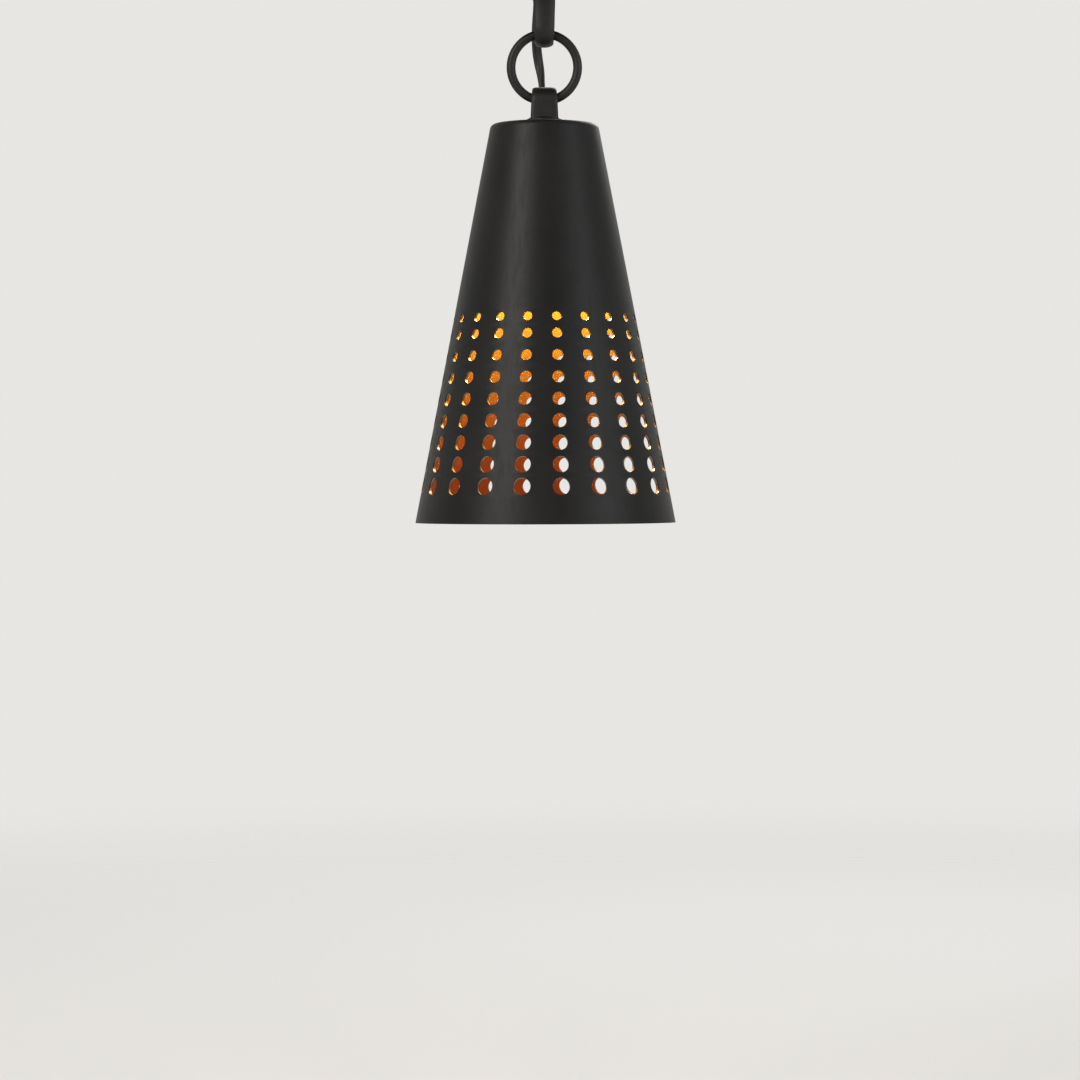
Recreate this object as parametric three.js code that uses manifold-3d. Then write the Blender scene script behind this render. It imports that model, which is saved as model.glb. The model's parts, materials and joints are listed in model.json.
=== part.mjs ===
// Outdoor pendant light: a perforated conical shade hung from a ceiling fitting by two loops and a ring.
// Millimetres, +Z up. The origin is the centre of the ceiling face, +X is to the right and -Y is the front.
import * as THREE from "three";
import { mergeVertices } from "three/addons/utils/BufferGeometryUtils.js";
import Module from "manifold-3d";

const wasm = await Module();
wasm.setup();

// Fits
const seatGap = 0.3;
const slipGap = 0.3;
const faceGap = 0.3;
const flatness = 0.005;

// Shade
const shadeHeight = 199.2;
const rimRadius = 65.2;
const topRadius = 26.84;
const shadeWall = 1.5;
const shoulderRadius = 2.8;

// Perforation: rows are counted upwards from the rim
const holeColumns = 20;
const columnPhase = THREE.MathUtils.degToRad(7.2);
const rowCount = 9;
const firstRowHeight = 18.4;
const rowPitch = 10.7;
const topRowPitch = 8.3;
const largestHole = 8.5;
const holeStep = 0.5;
const holeSides = 8;
const facetsPerColumn = 2;
const drillReach = 3;

// Ceiling fitting
const canopyRadius = 45;
const canopyHeight = 26;
const canopyWall = 1.5;
const canopyFlatRadius = 27;
const canopySideHeight = 13;
const plateThickness = 2;
const plateWidth = 30;
const earDrop = 14;
const earWidth = 14;
const slotWidth = 5;
const slotLength = 13;
const slotSpacing = 50;
const canopyScrewDrop = 8;
const canopyScrewRadius = 2;
const screwHeadRadius = 4;
const screwHeadHeight = 2.4;
const screwTail = 2;

// Ceiling loop
const stirrupLength = 29.8;
const stirrupBar = 4.3;
const stirrupCrownWidth = 9.4;
const stirrupFootWidth = 11.4;
const stirrupSpan = 7.4;
const stirrupCorner = 1;
const stirrupBossRadius = 10.6;
const stirrupBossHeight = 4;
const studRadius = 5;
const stirrupStudHeight = 11;

// Ring
const ringOuterRadius = 18.9;
const ringWire = 4.5;

// Shade loop
const loopHeight = 17.5;
const loopBar = 4.2;
const loopCrownWidth = 12.4;
const loopFootWidth = 14;
const loopSpan = 5.1;
const loopCorner = 0.5;
const shankRadius = 6.1;
const shankHeight = 1.3;
const flangeRadius = 9.1;
const flangeHeight = 2.9;
const flangeEdge = 1.3;
const shankChamfer = 0.8;
const loopThreadDepth = 3.2;
const gasketThickness = 1;
const gasketLip = 0.2;

// Cord and its glands
const cordWidth = 5;
const cordThickness = 2.6;
const canopyGlandX = -3.5;
const shadeGlandX = -1;
const glandBaseRadius = 5.6;
const glandTipRadius = 3;
const glandNeckRadius = 4.2;
const glandHeight = 5;
const glandCollar = 1.6;

// Fasteners and washers
const washerThickness = 1.3;
const washerRadius = 10.8;
const innerWasherRadius = 8.8;
const nutHeight = 5;
const nutAcrossFlats = 15;

// Terminal block
const blockLength = 24;
const blockDepth = 14;
const blockHeight = 9.5;
const blockCentreY = 5;
const poleSpacing = 14;
const terminalSpacing = 7;
const terminalRadius = 1.9;
const terminalDepth = 3;
const blockScrewRadius = 1.5;
const blockScrewHeadRadius = 2.7;
const blockScrewHeadHeight = 2;

// Lampholder
const holderRadius = 14.5;
const holderWall = 1.5;
const capNeckRadius = 7.6;
const capNeckHeight = 7;
const capShoulder = 2.5;
const capSkirt = 14.5;
const capChamfer = 1.5;
const bodyLength = 25;
const bodySleeve = 5;
const bodyLedge = 2;
const bodyChamfer = 1;
const bodyDraft = 0.3;
const coreRadius = 11;
const coreHeight = 8;
const shellRadius = 8.6;
const shellWall = 0.8;
const shellLength = 18;
const contactRadius = 3.2;
const contactHeight = 3.2;
const contactFaceRadius = 1.9;
const holderTerminalX = 6;
const holderTerminalY = 3;
const holderTerminalHeight = 2.4;
const holderTerminalRadius = 2.4;
const conductorRadius = 0.7;
const nippleBore = 3.6;
const nippleReach = 9;
const leadTail = 2;

// Bulb
const threadCrest = 6.9;
const threadRoot = 6.3;
const threadPitch = 2.82;
const threadTurns = 5;
const capRim = 1;
const capTaper = 0.2;
const bulbTipRadius = 2.4;
const bulbTipHeight = 1.5;
const insulatorHeight = 3;
const insulatorInset = 0.4;
const insulatorLip = 0.6;
const capWall = 0.5;
const glassNeckRadius = 5.5;
const glassRadius = 15;
const glassLength = 33;
const glassWall = 0.8;
const glassNeckLength = 5;
const glassNeckDrop = 1;
const glassDome = 16.5;
const stemRadius = 1.6;
const stemDrop = 2;
const stemFootHeight = 1;
const stemClearance = 7;
const filamentHalf = 6;
const filamentWire = 1;
const sealInner = 7;
const sealOuter = 12.4;
const sealHeight = 2;

// Heights that follow from the sizes above
const ringRadius = ringOuterRadius - ringWire / 2;
const canopyFace = -canopyHeight;
const canopyFloor = canopyFace + canopyWall;
const stirrupBottom = canopyFace - stirrupLength;
const ringTop = stirrupBottom + stirrupBar + seatGap + ringWire / 2;
const ringCentre = ringTop - ringRadius;
const ringLow = ringCentre - ringRadius;
const loopCrown = ringLow + ringWire / 2 + seatGap + loopBar;
const loopBase = loopCrown - loopHeight;
const shadeTop = loopBase - gasketThickness;
const shadeCeiling = shadeTop - shadeWall;
const rim = shadeTop - shadeHeight;
const washerFace = shadeCeiling - washerThickness;
const capTop = washerFace - nutHeight - faceGap;
const capShoulderTop = capTop - capNeckHeight;
const capEdge = capShoulderTop - capShoulder - capSkirt;
const bodyEdge = capEdge - bodyLength;
const coreFace = capEdge - bodyLedge;
const coreTop = coreFace + coreHeight;
const bulbTip = coreFace - contactHeight - faceGap;
const insulatorTop = bulbTip - bulbTipHeight;
const bulbCapTop = insulatorTop - insulatorHeight;
const bulbCapEdge = bulbCapTop - threadPitch * threadTurns - capRim;
const glassTip = bodyEdge - glassLength;

// The cone of the shade, and the glands that stand clear of what is beside them
const shadeTaper = (rimRadius - topRadius) / shadeHeight;
const wallAngle = Math.atan(shadeTaper);
const wallAcross = shadeWall / Math.cos(wallAngle);
const coneRadius = (height) => rimRadius - shadeTaper * height;
const shoulderCentre = coneRadius(shadeHeight - shoulderRadius) - shoulderRadius / Math.cos(wallAngle);
const gasketRadius = flangeRadius + gasketLip;
const studBore = studRadius + slipGap;
const canopyGland = new THREE.Vector2(canopyGlandX, (washerRadius + canopyFlatRadius) / 2);
const shadeGland = new THREE.Vector2(shadeGlandX, (gasketRadius + shoulderCentre) / 2);

// How far a cutting body runs past a face, and the sides of round bodies by their size
const cutPast = 1;
const smallSides = 8;
const middleSides = 12;
const roundSides = 16;
const largeSides = 24;

const finishes = {
  coat: { color: 0x171310, roughness: 0.55, metalness: 0.35 },
  iron: { color: 0x1d1916, roughness: 0.5, metalness: 0.6 },
  zinc: { color: 0xb4b8ba, roughness: 0.38, metalness: 1 },
  brass: { color: 0xc7a14c, roughness: 0.3, metalness: 1 },
  rubber: { color: 0x1b1a19, roughness: 0.85, metalness: 0 },
  cord: { color: 0x201d1a, roughness: 0.7, metalness: 0 },
  phenolic: { color: 0x16120f, roughness: 0.4, metalness: 0 },
  ceramic: { color: 0xe4ddcf, roughness: 0.35, metalness: 0 },
  plastic: { color: 0xdcd8cd, roughness: 0.5, metalness: 0 },
  copper: { color: 0xb86a3c, roughness: 0.4, metalness: 1 },
  glass: { color: 0xf2b45a, roughness: 0.08, metalness: 0 },
  glow: { color: 0xffc25e, roughness: 0.3, metalness: 0 },
  silicone: { color: 0x9a938a, roughness: 0.7, metalness: 0 },
};

const group = new THREE.Group();
group.name = "outdoor_pendant_light";

function piece(name, geometry, finish) {
  const mesh = new THREE.Mesh(geometry, new THREE.MeshStandardMaterial(finishes[finish]));
  mesh.name = name;
  group.add(mesh);
}

// A closed body as a solid that can be cut and joined.
function solid(geometry) {
  const bare = geometry.clone();
  bare.deleteAttribute("normal");
  bare.deleteAttribute("uv");
  const merged = mergeVertices(bare, 1e-4);
  const positions = merged.getAttribute("position").array;
  const triVerts = new Uint32Array(merged.index.array);
  return new wasm.Manifold(new wasm.Mesh({ numProp: 3, vertProperties: positions, triVerts }));
}

// The surface of a finished solid, each flat face kept in one piece.
function surface(body) {
  const mesh = body.asOriginal().simplify(flatness).getMesh();
  const geometry = new THREE.BufferGeometry();
  geometry.setAttribute("position", new THREE.BufferAttribute(mesh.vertProperties, 3));
  geometry.setIndex(new THREE.BufferAttribute(mesh.triVerts, 1));
  return geometry;
}

// A profile of [radius, z] pairs turned about the Z axis, from its lower outer side upwards and inwards.
function turned(profile, segments, start = 0) {
  const points = profile.map(([radius, z]) => new THREE.Vector2(radius, z));
  return new THREE.LatheGeometry(points, segments, start).rotateX(Math.PI / 2);
}

// The same for a profile that closes on itself.
function turnedRing(profile, segments, start = 0) {
  return turned([...profile, profile[0]], segments, start);
}

function washer(outer, inner, low, high, segments) {
  return turnedRing([[inner, low], [outer, low], [outer, high], [inner, high]], segments);
}

function disc(radius, low, high, segments) {
  return turned([[0, low], [radius, low], [radius, high], [0, high]], segments);
}

function slab(shape, low, high, arcSteps) {
  const options = { depth: high - low, bevelEnabled: false, curveSegments: arcSteps };
  return new THREE.ExtrudeGeometry(shape, options).translate(0, 0, low);
}

function box(width, depth, low, high, x = 0, y = 0) {
  const geometry = new THREE.BoxGeometry(width, depth, high - low);
  return geometry.translate(x, y, (low + high) / 2);
}

// A round section drawn along a smooth line through hand-placed points.
function drawn(points, width, thickness, sides, steps) {
  const section = new THREE.Shape().absellipse(0, 0, width / 2, thickness / 2, 0, 2 * Math.PI);
  const path = new THREE.CatmullRomCurve3(points.map((p) => new THREE.Vector3(...p)));
  const options = { steps, curveSegments: sides / 2, extrudePath: path, bevelEnabled: false };
  return new THREE.ExtrudeGeometry(section, options);
}

// A bar bent to a U in the YZ plane, its crown at one height and its feet at another. Its section is an
// oval where the corner is 1. Where it is less, the outer side is squarer, and the inner side stays round.
function bentBar(bar, crownWidth, footWidth, span, crown, feet, corner) {
  const sides = 12;
  const legSteps = 1;
  const bendSteps = 8;
  const up = Math.sign(crown - feet);
  const bendCentre = crown - up * (bar / 2 + span);
  const legLength = Math.abs(bendCentre - feet);
  const stations = [];
  for (let i = 0; i < legSteps; i++) {
    const rise = i / legSteps;
    stations.push({ y: -span, z: feet + up * legLength * rise, turn: 0, rise: rise / 2 });
  }
  for (let i = 0; i <= bendSteps; i++) {
    const turn = (Math.PI * i) / bendSteps;
    const y = -span * Math.cos(turn);
    const z = bendCentre + up * span * Math.sin(turn);
    stations.push({ y, z, turn, rise: 0.5 + 0.5 * Math.sin(turn) });
  }
  for (let i = legSteps - 1; i >= 0; i--) {
    const rise = i / legSteps;
    stations.push({ y: span, z: feet + up * legLength * rise, turn: Math.PI, rise: rise / 2 });
  }
  const positions = [];
  const indices = [];
  const squared = (share, power) => Math.sign(share) * Math.abs(share) ** power;
  for (const { y, z, turn, rise } of stations) {
    const halfWidth = THREE.MathUtils.lerp(footWidth, crownWidth, rise) / 2;
    for (let k = 0; k < sides; k++) {
      const angle = (2 * Math.PI * k) / sides;
      const power = angle < Math.PI ? corner : 1;
      const out = (bar / 2) * squared(Math.sin(angle), power);
      const x = halfWidth * squared(Math.cos(angle), power);
      positions.push(x, y - out * Math.cos(turn), z + up * out * Math.sin(turn));
    }
  }
  const face = (a, b, c) => (up > 0 ? indices.push(a, b, c) : indices.push(a, c, b));
  for (let s = 0; s + 1 < stations.length; s++) {
    for (let k = 0; k < sides; k++) {
      const a = s * sides + k;
      const b = s * sides + ((k + 1) % sides);
      face(a, a + sides, b);
      face(b, a + sides, b + sides);
    }
  }
  const last = (stations.length - 1) * sides;
  for (let k = 1; k + 1 < sides; k++) {
    face(0, k, k + 1);
    face(last, last + k + 1, last + k);
  }
  const geometry = new THREE.BufferGeometry();
  geometry.setAttribute("position", new THREE.Float32BufferAttribute(positions, 3));
  geometry.setIndex(indices);
  return geometry;
}

function hexNut(acrossFlats, bore, low, high) {
  const shape = new THREE.Shape();
  const reach = acrossFlats / Math.sqrt(3);
  for (let k = 0; k < 6; k++) {
    const angle = (Math.PI * k) / 3;
    const x = reach * Math.cos(angle);
    const y = reach * Math.sin(angle);
    if (k === 0) shape.moveTo(x, y);
    else shape.lineTo(x, y);
  }
  shape.closePath();
  shape.holes.push(new THREE.Path().absarc(0, 0, bore, 0, 2 * Math.PI, true));
  return slab(shape, low, high, smallSides);
}

// A snap-in gland: a collar and a tapered nose on the outside, a neck in the hole and a collar inside.
function gland(outerFace, wall, nose) {
  const side = Math.sign(nose);
  const innerFace = outerFace - side * wall;
  const profile = [
    [0, innerFace - side * glandCollar],
    [glandBaseRadius, innerFace - side * glandCollar],
    [glandBaseRadius, innerFace],
    [glandNeckRadius, innerFace],
    [glandNeckRadius, outerFace],
    [glandBaseRadius, outerFace],
    [glandBaseRadius, outerFace + side * glandCollar],
    [glandTipRadius, outerFace + nose],
    [0, outerFace + nose],
  ];
  return turned(side > 0 ? profile : profile.reverse(), middleSides);
}

// Mounting plate: a strip with round ends, two slots and two turned-down ears
const canopyBore = canopyRadius - canopyWall;
const plateReach = canopyBore - 2 * slipGap;
const plateEdge = Math.asin(plateWidth / 2 / plateReach);
const plateShape = new THREE.Shape();
plateShape.absarc(0, 0, plateReach, -plateEdge, plateEdge, false);
plateShape.absarc(0, 0, plateReach, Math.PI - plateEdge, Math.PI + plateEdge, false);
plateShape.closePath();
for (const side of [-1, 1]) {
  const slot = new THREE.Path();
  const far = (slotLength - slotWidth) / 2;
  const centre = (side * slotSpacing) / 2;
  slot.absarc(centre + far, 0, slotWidth / 2, Math.PI / 2, -Math.PI / 2, true);
  slot.absarc(centre - far, 0, slotWidth / 2, -Math.PI / 2, -1.5 * Math.PI, true);
  slot.closePath();
  plateShape.holes.push(slot);
}
const earOuter = Math.sqrt(plateReach ** 2 - (earWidth / 2) ** 2);
const earCentre = earOuter - plateThickness / 2;
const plateArcSteps = 4;
let plate = solid(slab(plateShape, -plateThickness, 0, plateArcSteps));
for (const side of [-1, 1]) {
  plate = plate.add(solid(box(plateThickness, earWidth, -earDrop, -plateThickness / 2, side * earCentre)));
}
const crossHole = disc(canopyScrewRadius + slipGap, -2 * canopyRadius, 2 * canopyRadius, smallSides);
crossHole.rotateY(Math.PI / 2).translate(0, 0, -canopyScrewDrop);
plate = plate.subtract(solid(crossHole));
const blockScrewHole = disc(blockScrewRadius + slipGap, -plateThickness - cutPast, cutPast, smallSides);
plate = plate.subtract(solid(blockScrewHole.translate(0, blockCentreY, 0)));
piece("mounting_plate", surface(plate), "zinc");

// Canopy: a shallow cup with a rounded shoulder
const canopyBend = canopyHeight - canopySideHeight;
const canopyFlare = canopyRadius - canopyFlatRadius;
const shoulderBends = 4;
const canopyOuter = [];
const canopyInner = [];
for (let i = 0; i <= shoulderBends; i++) {
  const angle = (Math.PI / 2) * (i / shoulderBends);
  const across = Math.sin(angle);
  const rise = 1 - Math.cos(angle);
  canopyOuter.push([canopyFlatRadius + canopyFlare * across, canopyFace + canopyBend * rise]);
  canopyInner.push([
    canopyFlatRadius + (canopyFlare - canopyWall) * across,
    canopyFloor + (canopyBend - canopyWall) * rise,
  ]);
}
const canopyProfile = [
  [studBore, canopyFace],
  ...canopyOuter,
  [canopyRadius, 0],
  [canopyBore, 0],
  ...canopyInner.reverse(),
  [studBore, canopyFloor],
];
let canopy = solid(turnedRing(canopyProfile, largeSides));
canopy = canopy.subtract(solid(crossHole));
const glandHoleRadius = glandNeckRadius + slipGap;
const canopyGlandHole = disc(glandHoleRadius, canopyFace - cutPast, canopyFloor + cutPast, middleSides);
canopy = canopy.subtract(solid(canopyGlandHole.translate(canopyGland.x, canopyGland.y, 0)));
piece("canopy", surface(canopy), "coat");

const screwReach = canopyRadius - earOuter + plateThickness + screwTail;
const screwProfile = [
  [0, -screwReach],
  [canopyScrewRadius, -screwReach],
  [canopyScrewRadius, faceGap],
  [screwHeadRadius, faceGap],
  [screwHeadRadius, screwHeadHeight / 2],
  [screwHeadRadius / 2, screwHeadHeight],
  [0, screwHeadHeight],
];
for (const [name, side] of [["canopy_screw_left", -1], ["canopy_screw_right", 1]]) {
  const screw = turned(screwProfile, middleSides).translate(0, 0, canopyRadius);
  screw.rotateY((side * Math.PI) / 2).translate(0, 0, -canopyScrewDrop);
  piece(name, screw, "iron");
}

// Terminal block under the plate
const blockTop = -plateThickness;
const blockBottom = blockTop - blockHeight;
let block = solid(box(blockLength, blockDepth, blockBottom, blockTop, 0, blockCentreY));
const terminalPlaces = [];
for (const sideX of [-1, 1]) {
  for (const sideY of [-1, 1]) {
    terminalPlaces.push([(sideX * poleSpacing) / 2, blockCentreY + (sideY * terminalSpacing) / 2]);
  }
}
for (const [x, y] of terminalPlaces) {
  const wellFloor = blockBottom + terminalDepth;
  const well = disc(terminalRadius + slipGap, blockBottom - cutPast, wellFloor, smallSides);
  block = block.subtract(solid(well.translate(x, y, 0)));
}
const blockBore = disc(blockScrewRadius + slipGap, blockBottom - cutPast, blockTop + cutPast, smallSides);
block = block.subtract(solid(blockBore.translate(0, blockCentreY, 0)));
piece("terminal_block", surface(block), "plastic");
terminalPlaces.forEach(([x, y], i) => {
  const screw = disc(terminalRadius, blockBottom, blockBottom + terminalDepth, smallSides);
  piece(`terminal_screw_${i + 1}`, screw.translate(x, y, 0), "brass");
});
const blockScrewProfile = [
  [0, blockBottom - blockScrewHeadHeight],
  [blockScrewHeadRadius, blockBottom - blockScrewHeadHeight],
  [blockScrewHeadRadius, blockBottom],
  [blockScrewRadius, blockBottom],
  [blockScrewRadius, -faceGap],
  [0, -faceGap],
];
piece("block_screw", turned(blockScrewProfile, smallSides).translate(0, blockCentreY, 0), "zinc");

// Ceiling loop: a stirrup under a boss, with a stud through the canopy
const stirrupFeet = canopyFace - stirrupBossHeight / 2;
const bossProfile = [
  [0, canopyFace - stirrupBossHeight],
  [stirrupBossRadius, canopyFace - stirrupBossHeight],
  [stirrupBossRadius, canopyFace],
  [studRadius, canopyFace],
  [studRadius, canopyFace + stirrupStudHeight],
  [0, canopyFace + stirrupStudHeight],
];
const stirrupBend = solid(
  bentBar(
    stirrupBar,
    stirrupCrownWidth,
    stirrupFootWidth,
    stirrupSpan,
    stirrupBottom,
    stirrupFeet,
    stirrupCorner,
  ),
);
piece("ceiling_loop", surface(solid(turned(bossProfile, largeSides)).add(stirrupBend)), "iron");
const loopWasherTop = canopyFloor + washerThickness;
const loopWasher = washer(washerRadius, studBore, canopyFloor, loopWasherTop, roundSides);
piece("loop_washer", loopWasher, "zinc");
const loopNut = hexNut(nutAcrossFlats, studBore, loopWasherTop, loopWasherTop + nutHeight);
piece("loop_nut", loopNut, "zinc");

// Glands, the leads they pass on, and the pendant cord between them
const cordSides = 8;
const canopyNose = canopyFace - glandHeight;
const canopyGlandBack = canopyFloor + glandCollar;
const upperGland = gland(canopyFace, canopyWall, -glandHeight);
piece("canopy_gland", upperGland.translate(canopyGland.x, canopyGland.y, 0), "rubber");
const blockBack = blockCentreY + blockDepth / 2;
const blockMiddle = (blockTop + blockBottom) / 2;
const canopyRun = [
  [canopyGland.x, canopyGland.y, canopyGlandBack + faceGap],
  [canopyGland.x, canopyGland.y, canopyGlandBack + 3],
  [canopyGland.x / 2, canopyGland.y, blockMiddle - 3],
  [0, blockBack + 3.5, blockMiddle],
  [0, blockBack + faceGap, blockMiddle],
];
piece("canopy_lead", drawn(canopyRun, cordWidth, cordThickness, cordSides, 8), "cord");

const shadeNose = shadeTop + glandHeight;
const lowerGland = gland(shadeTop, shadeWall, glandHeight);
piece("shade_gland", lowerGland.translate(shadeGland.x, shadeGland.y, 0), "rubber");

// The cord is one length, in two stretches that meet behind the middle of the ring
const cordRun = [
  [canopyGland.x, canopyGland.y, canopyNose - faceGap],
  [-3.6, 19.2, canopyNose - 3.6],
  [-3.8, 21.6, canopyNose - 9.2],
  [-3.9, 25.8, ringCentre + 18],
  [-3.6, 29.8, ringCentre + 11.4],
  [-2.7, 31.1, ringCentre + 5.3],
  [-1.7, 29.2, ringCentre - 0.8],
  [-1.2, 24.7, ringCentre - 7.2],
  [-1.1, 19.6, shadeNose + 9.2],
  [-1, 17.2, shadeNose + 3.6],
  [shadeGland.x, shadeGland.y, shadeNose + faceGap],
];
const cordSteps = 20;
const cordLine = new THREE.CatmullRomCurve3(cordRun.map((p) => new THREE.Vector3(...p)));
const cordPoints = cordLine.getSpacedPoints(cordSteps);
const half = cordSteps / 2;
const meetingGap = cordLine.getTangentAt(0.5).multiplyScalar(1.5 * faceGap);
const upperPoints = cordPoints.slice(0, half + 1).map((p) => p.toArray());
const lowerPoints = cordPoints.slice(half).map((p) => p.toArray());
lowerPoints[0] = cordPoints[half].clone().add(meetingGap).toArray();
piece("cord_upper", drawn(upperPoints, cordWidth, cordThickness, cordSides, half), "cord");
piece("cord_lower", drawn(lowerPoints, cordWidth, cordThickness, cordSides, half), "cord");

// Ring
const wireSides = 8;
const ringSegments = 36;
const ringTube = new THREE.TorusGeometry(ringRadius, ringWire / 2, wireSides, ringSegments);
piece("ring", ringTube.rotateX(Math.PI / 2).translate(0, 0, ringCentre), "iron");

// Shade loop: a broad eye whose feet run down a shank into its flange, with a threaded socket from below
const shankTop = loopBase + flangeHeight + shankHeight;
const loopFeet = loopBase + flangeHeight / 2;
const socketTop = loopBase + loopThreadDepth;
const shankProfile = [
  [0, loopBase],
  [flangeRadius, loopBase],
  [flangeRadius, loopBase + flangeEdge],
  [shankRadius, loopBase + flangeHeight],
  [shankRadius, shankTop - shankChamfer],
  [shankRadius - shankChamfer, shankTop],
  [0, shankTop],
];
const shank = solid(turned(shankProfile, roundSides));
const loopBend = solid(
  bentBar(loopBar, loopCrownWidth, loopFootWidth, loopSpan, loopCrown, loopFeet, loopCorner),
);
const loopSocket = solid(disc(studBore, loopBase - cutPast, socketTop, middleSides));
piece("shade_loop", surface(shank.add(loopBend).subtract(loopSocket)), "iron");
piece("seat_gasket", washer(gasketRadius, studBore, shadeTop, loopBase, roundSides), "rubber");

// Shade: a conical shell with a flat top, drilled square to its wall
const shoulderSteps = 2;
const innerShoulder = shoulderRadius - shadeWall;
const shoulderArc = (radius) => {
  const points = [];
  for (let i = 0; i <= shoulderSteps; i++) {
    const angle = wallAngle + (Math.PI / 2 - wallAngle) * (i / shoulderSteps);
    const across = shoulderCentre + radius * Math.cos(angle);
    points.push([across, shadeTop - shoulderRadius + radius * Math.sin(angle)]);
  }
  return points;
};
const shadeProfile = [
  [rimRadius - wallAcross, rim],
  [rimRadius, rim],
  ...shoulderArc(shoulderRadius),
  [studBore, shadeTop],
  [studBore, shadeCeiling],
  ...shoulderArc(innerShoulder).reverse(),
];
const facetAngle = (2 * Math.PI) / (holeColumns * facetsPerColumn);
let shade = solid(turnedRing(shadeProfile, holeColumns * facetsPerColumn, columnPhase - facetAngle / 2));
const shadeGlandHole = disc(glandHoleRadius, shadeCeiling - cutPast, shadeTop + cutPast, middleSides);
shade = shade.subtract(solid(shadeGlandHole.translate(shadeGland.x, shadeGland.y, 0)));
for (let row = 0; row < rowCount; row++) {
  const above = row < rowCount - 1 ? row * rowPitch : (row - 1) * rowPitch + topRowPitch;
  const height = firstRowHeight + above;
  const radius = (largestHole - row * holeStep) / 2;
  const drill = new THREE.CylinderGeometry(radius, radius, 2 * drillReach, holeSides);
  for (let column = 0; column < holeColumns; column++) {
    const around = columnPhase + (2 * Math.PI * column) / holeColumns;
    const tangent = new THREE.Vector3(Math.cos(around), Math.sin(around), 0);
    const outward = new THREE.Vector3(
      Math.sin(around) * Math.cos(wallAngle),
      -Math.cos(around) * Math.cos(wallAngle),
      Math.sin(wallAngle),
    );
    const along = new THREE.Vector3().crossVectors(tangent, outward);
    const place = new THREE.Matrix4().makeBasis(tangent, outward, along);
    const reach = coneRadius(height) * Math.cos(facetAngle / 2);
    place.setPosition(reach * Math.sin(around), -reach * Math.cos(around), rim + height);
    shade = shade.subtract(solid(drill.clone().applyMatrix4(place)));
  }
}
piece("shade", surface(shade), "coat");

// Stack under the shade's top
const nippleBottom = capTop - nippleReach;
piece("nipple", washer(studRadius, nippleBore, nippleBottom, socketTop - faceGap, middleSides), "zinc");
const innerWasher = washer(innerWasherRadius, studBore, washerFace, shadeCeiling, roundSides);
piece("inner_washer", innerWasher, "zinc");
piece("lock_nut", hexNut(nutAcrossFlats, studBore, washerFace - nutHeight, washerFace), "zinc");

// Lampholder
const holderSides = 18;
const capBore = holderRadius - holderWall;
const capInside = capShoulderTop - capShoulder;
const capProfile = [
  [capBore, capEdge],
  [holderRadius, capEdge],
  [holderRadius, capInside],
  [holderRadius - capChamfer, capShoulderTop],
  [capNeckRadius, capShoulderTop],
  [capNeckRadius, capTop],
  [studBore, capTop],
  [studBore, capInside],
  [capBore, capInside],
];
const cordEntryY = (capNeckRadius + capBore) / 2;
const entryWidth = cordWidth + 2 * slipGap;
const entryDepth = cordThickness + 2 * slipGap;
const cordEntry = box(entryWidth, entryDepth, capInside - cutPast, capShoulderTop + cutPast, 0, cordEntryY);
const holderCap = solid(turnedRing(capProfile, holderSides)).subtract(solid(cordEntry));
piece("holder_cap", surface(holderCap), "phenolic");

const sleeveRadius = capBore - slipGap;
const sleeveTop = capEdge + bodySleeve;
const shellBore = shellRadius + slipGap;
const bodyProfile = [
  [shellBore, bodyEdge],
  [holderRadius - bodyChamfer, bodyEdge],
  [holderRadius - bodyDraft, bodyEdge + bodyChamfer],
  [holderRadius, capEdge],
  [sleeveRadius, capEdge],
  [sleeveRadius, sleeveTop],
  [coreRadius + slipGap, sleeveTop],
  [coreRadius + slipGap, coreFace],
  [shellBore, coreFace],
];
piece("holder_body", turnedRing(bodyProfile, holderSides), "phenolic");
piece("holder_core", disc(coreRadius, coreFace, coreTop, roundSides), "ceramic");
const shellProfile = [
  [shellRadius - shellWall, coreFace - shellLength],
  [shellRadius, coreFace - shellLength],
  [shellRadius, coreFace],
  [contactRadius + 2 * slipGap, coreFace],
  [contactRadius + 2 * slipGap, coreFace - shellWall],
  [shellRadius - shellWall, coreFace - shellWall],
];
piece("screw_shell", turnedRing(shellProfile, roundSides), "brass");
const contactProfile = [
  [0, coreFace - contactHeight],
  [contactFaceRadius, coreFace - contactHeight],
  [contactRadius, coreFace - shellWall - slipGap],
  [contactRadius, coreFace],
  [0, coreFace],
];
piece("centre_contact", turned(contactProfile, middleSides), "brass");

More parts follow.
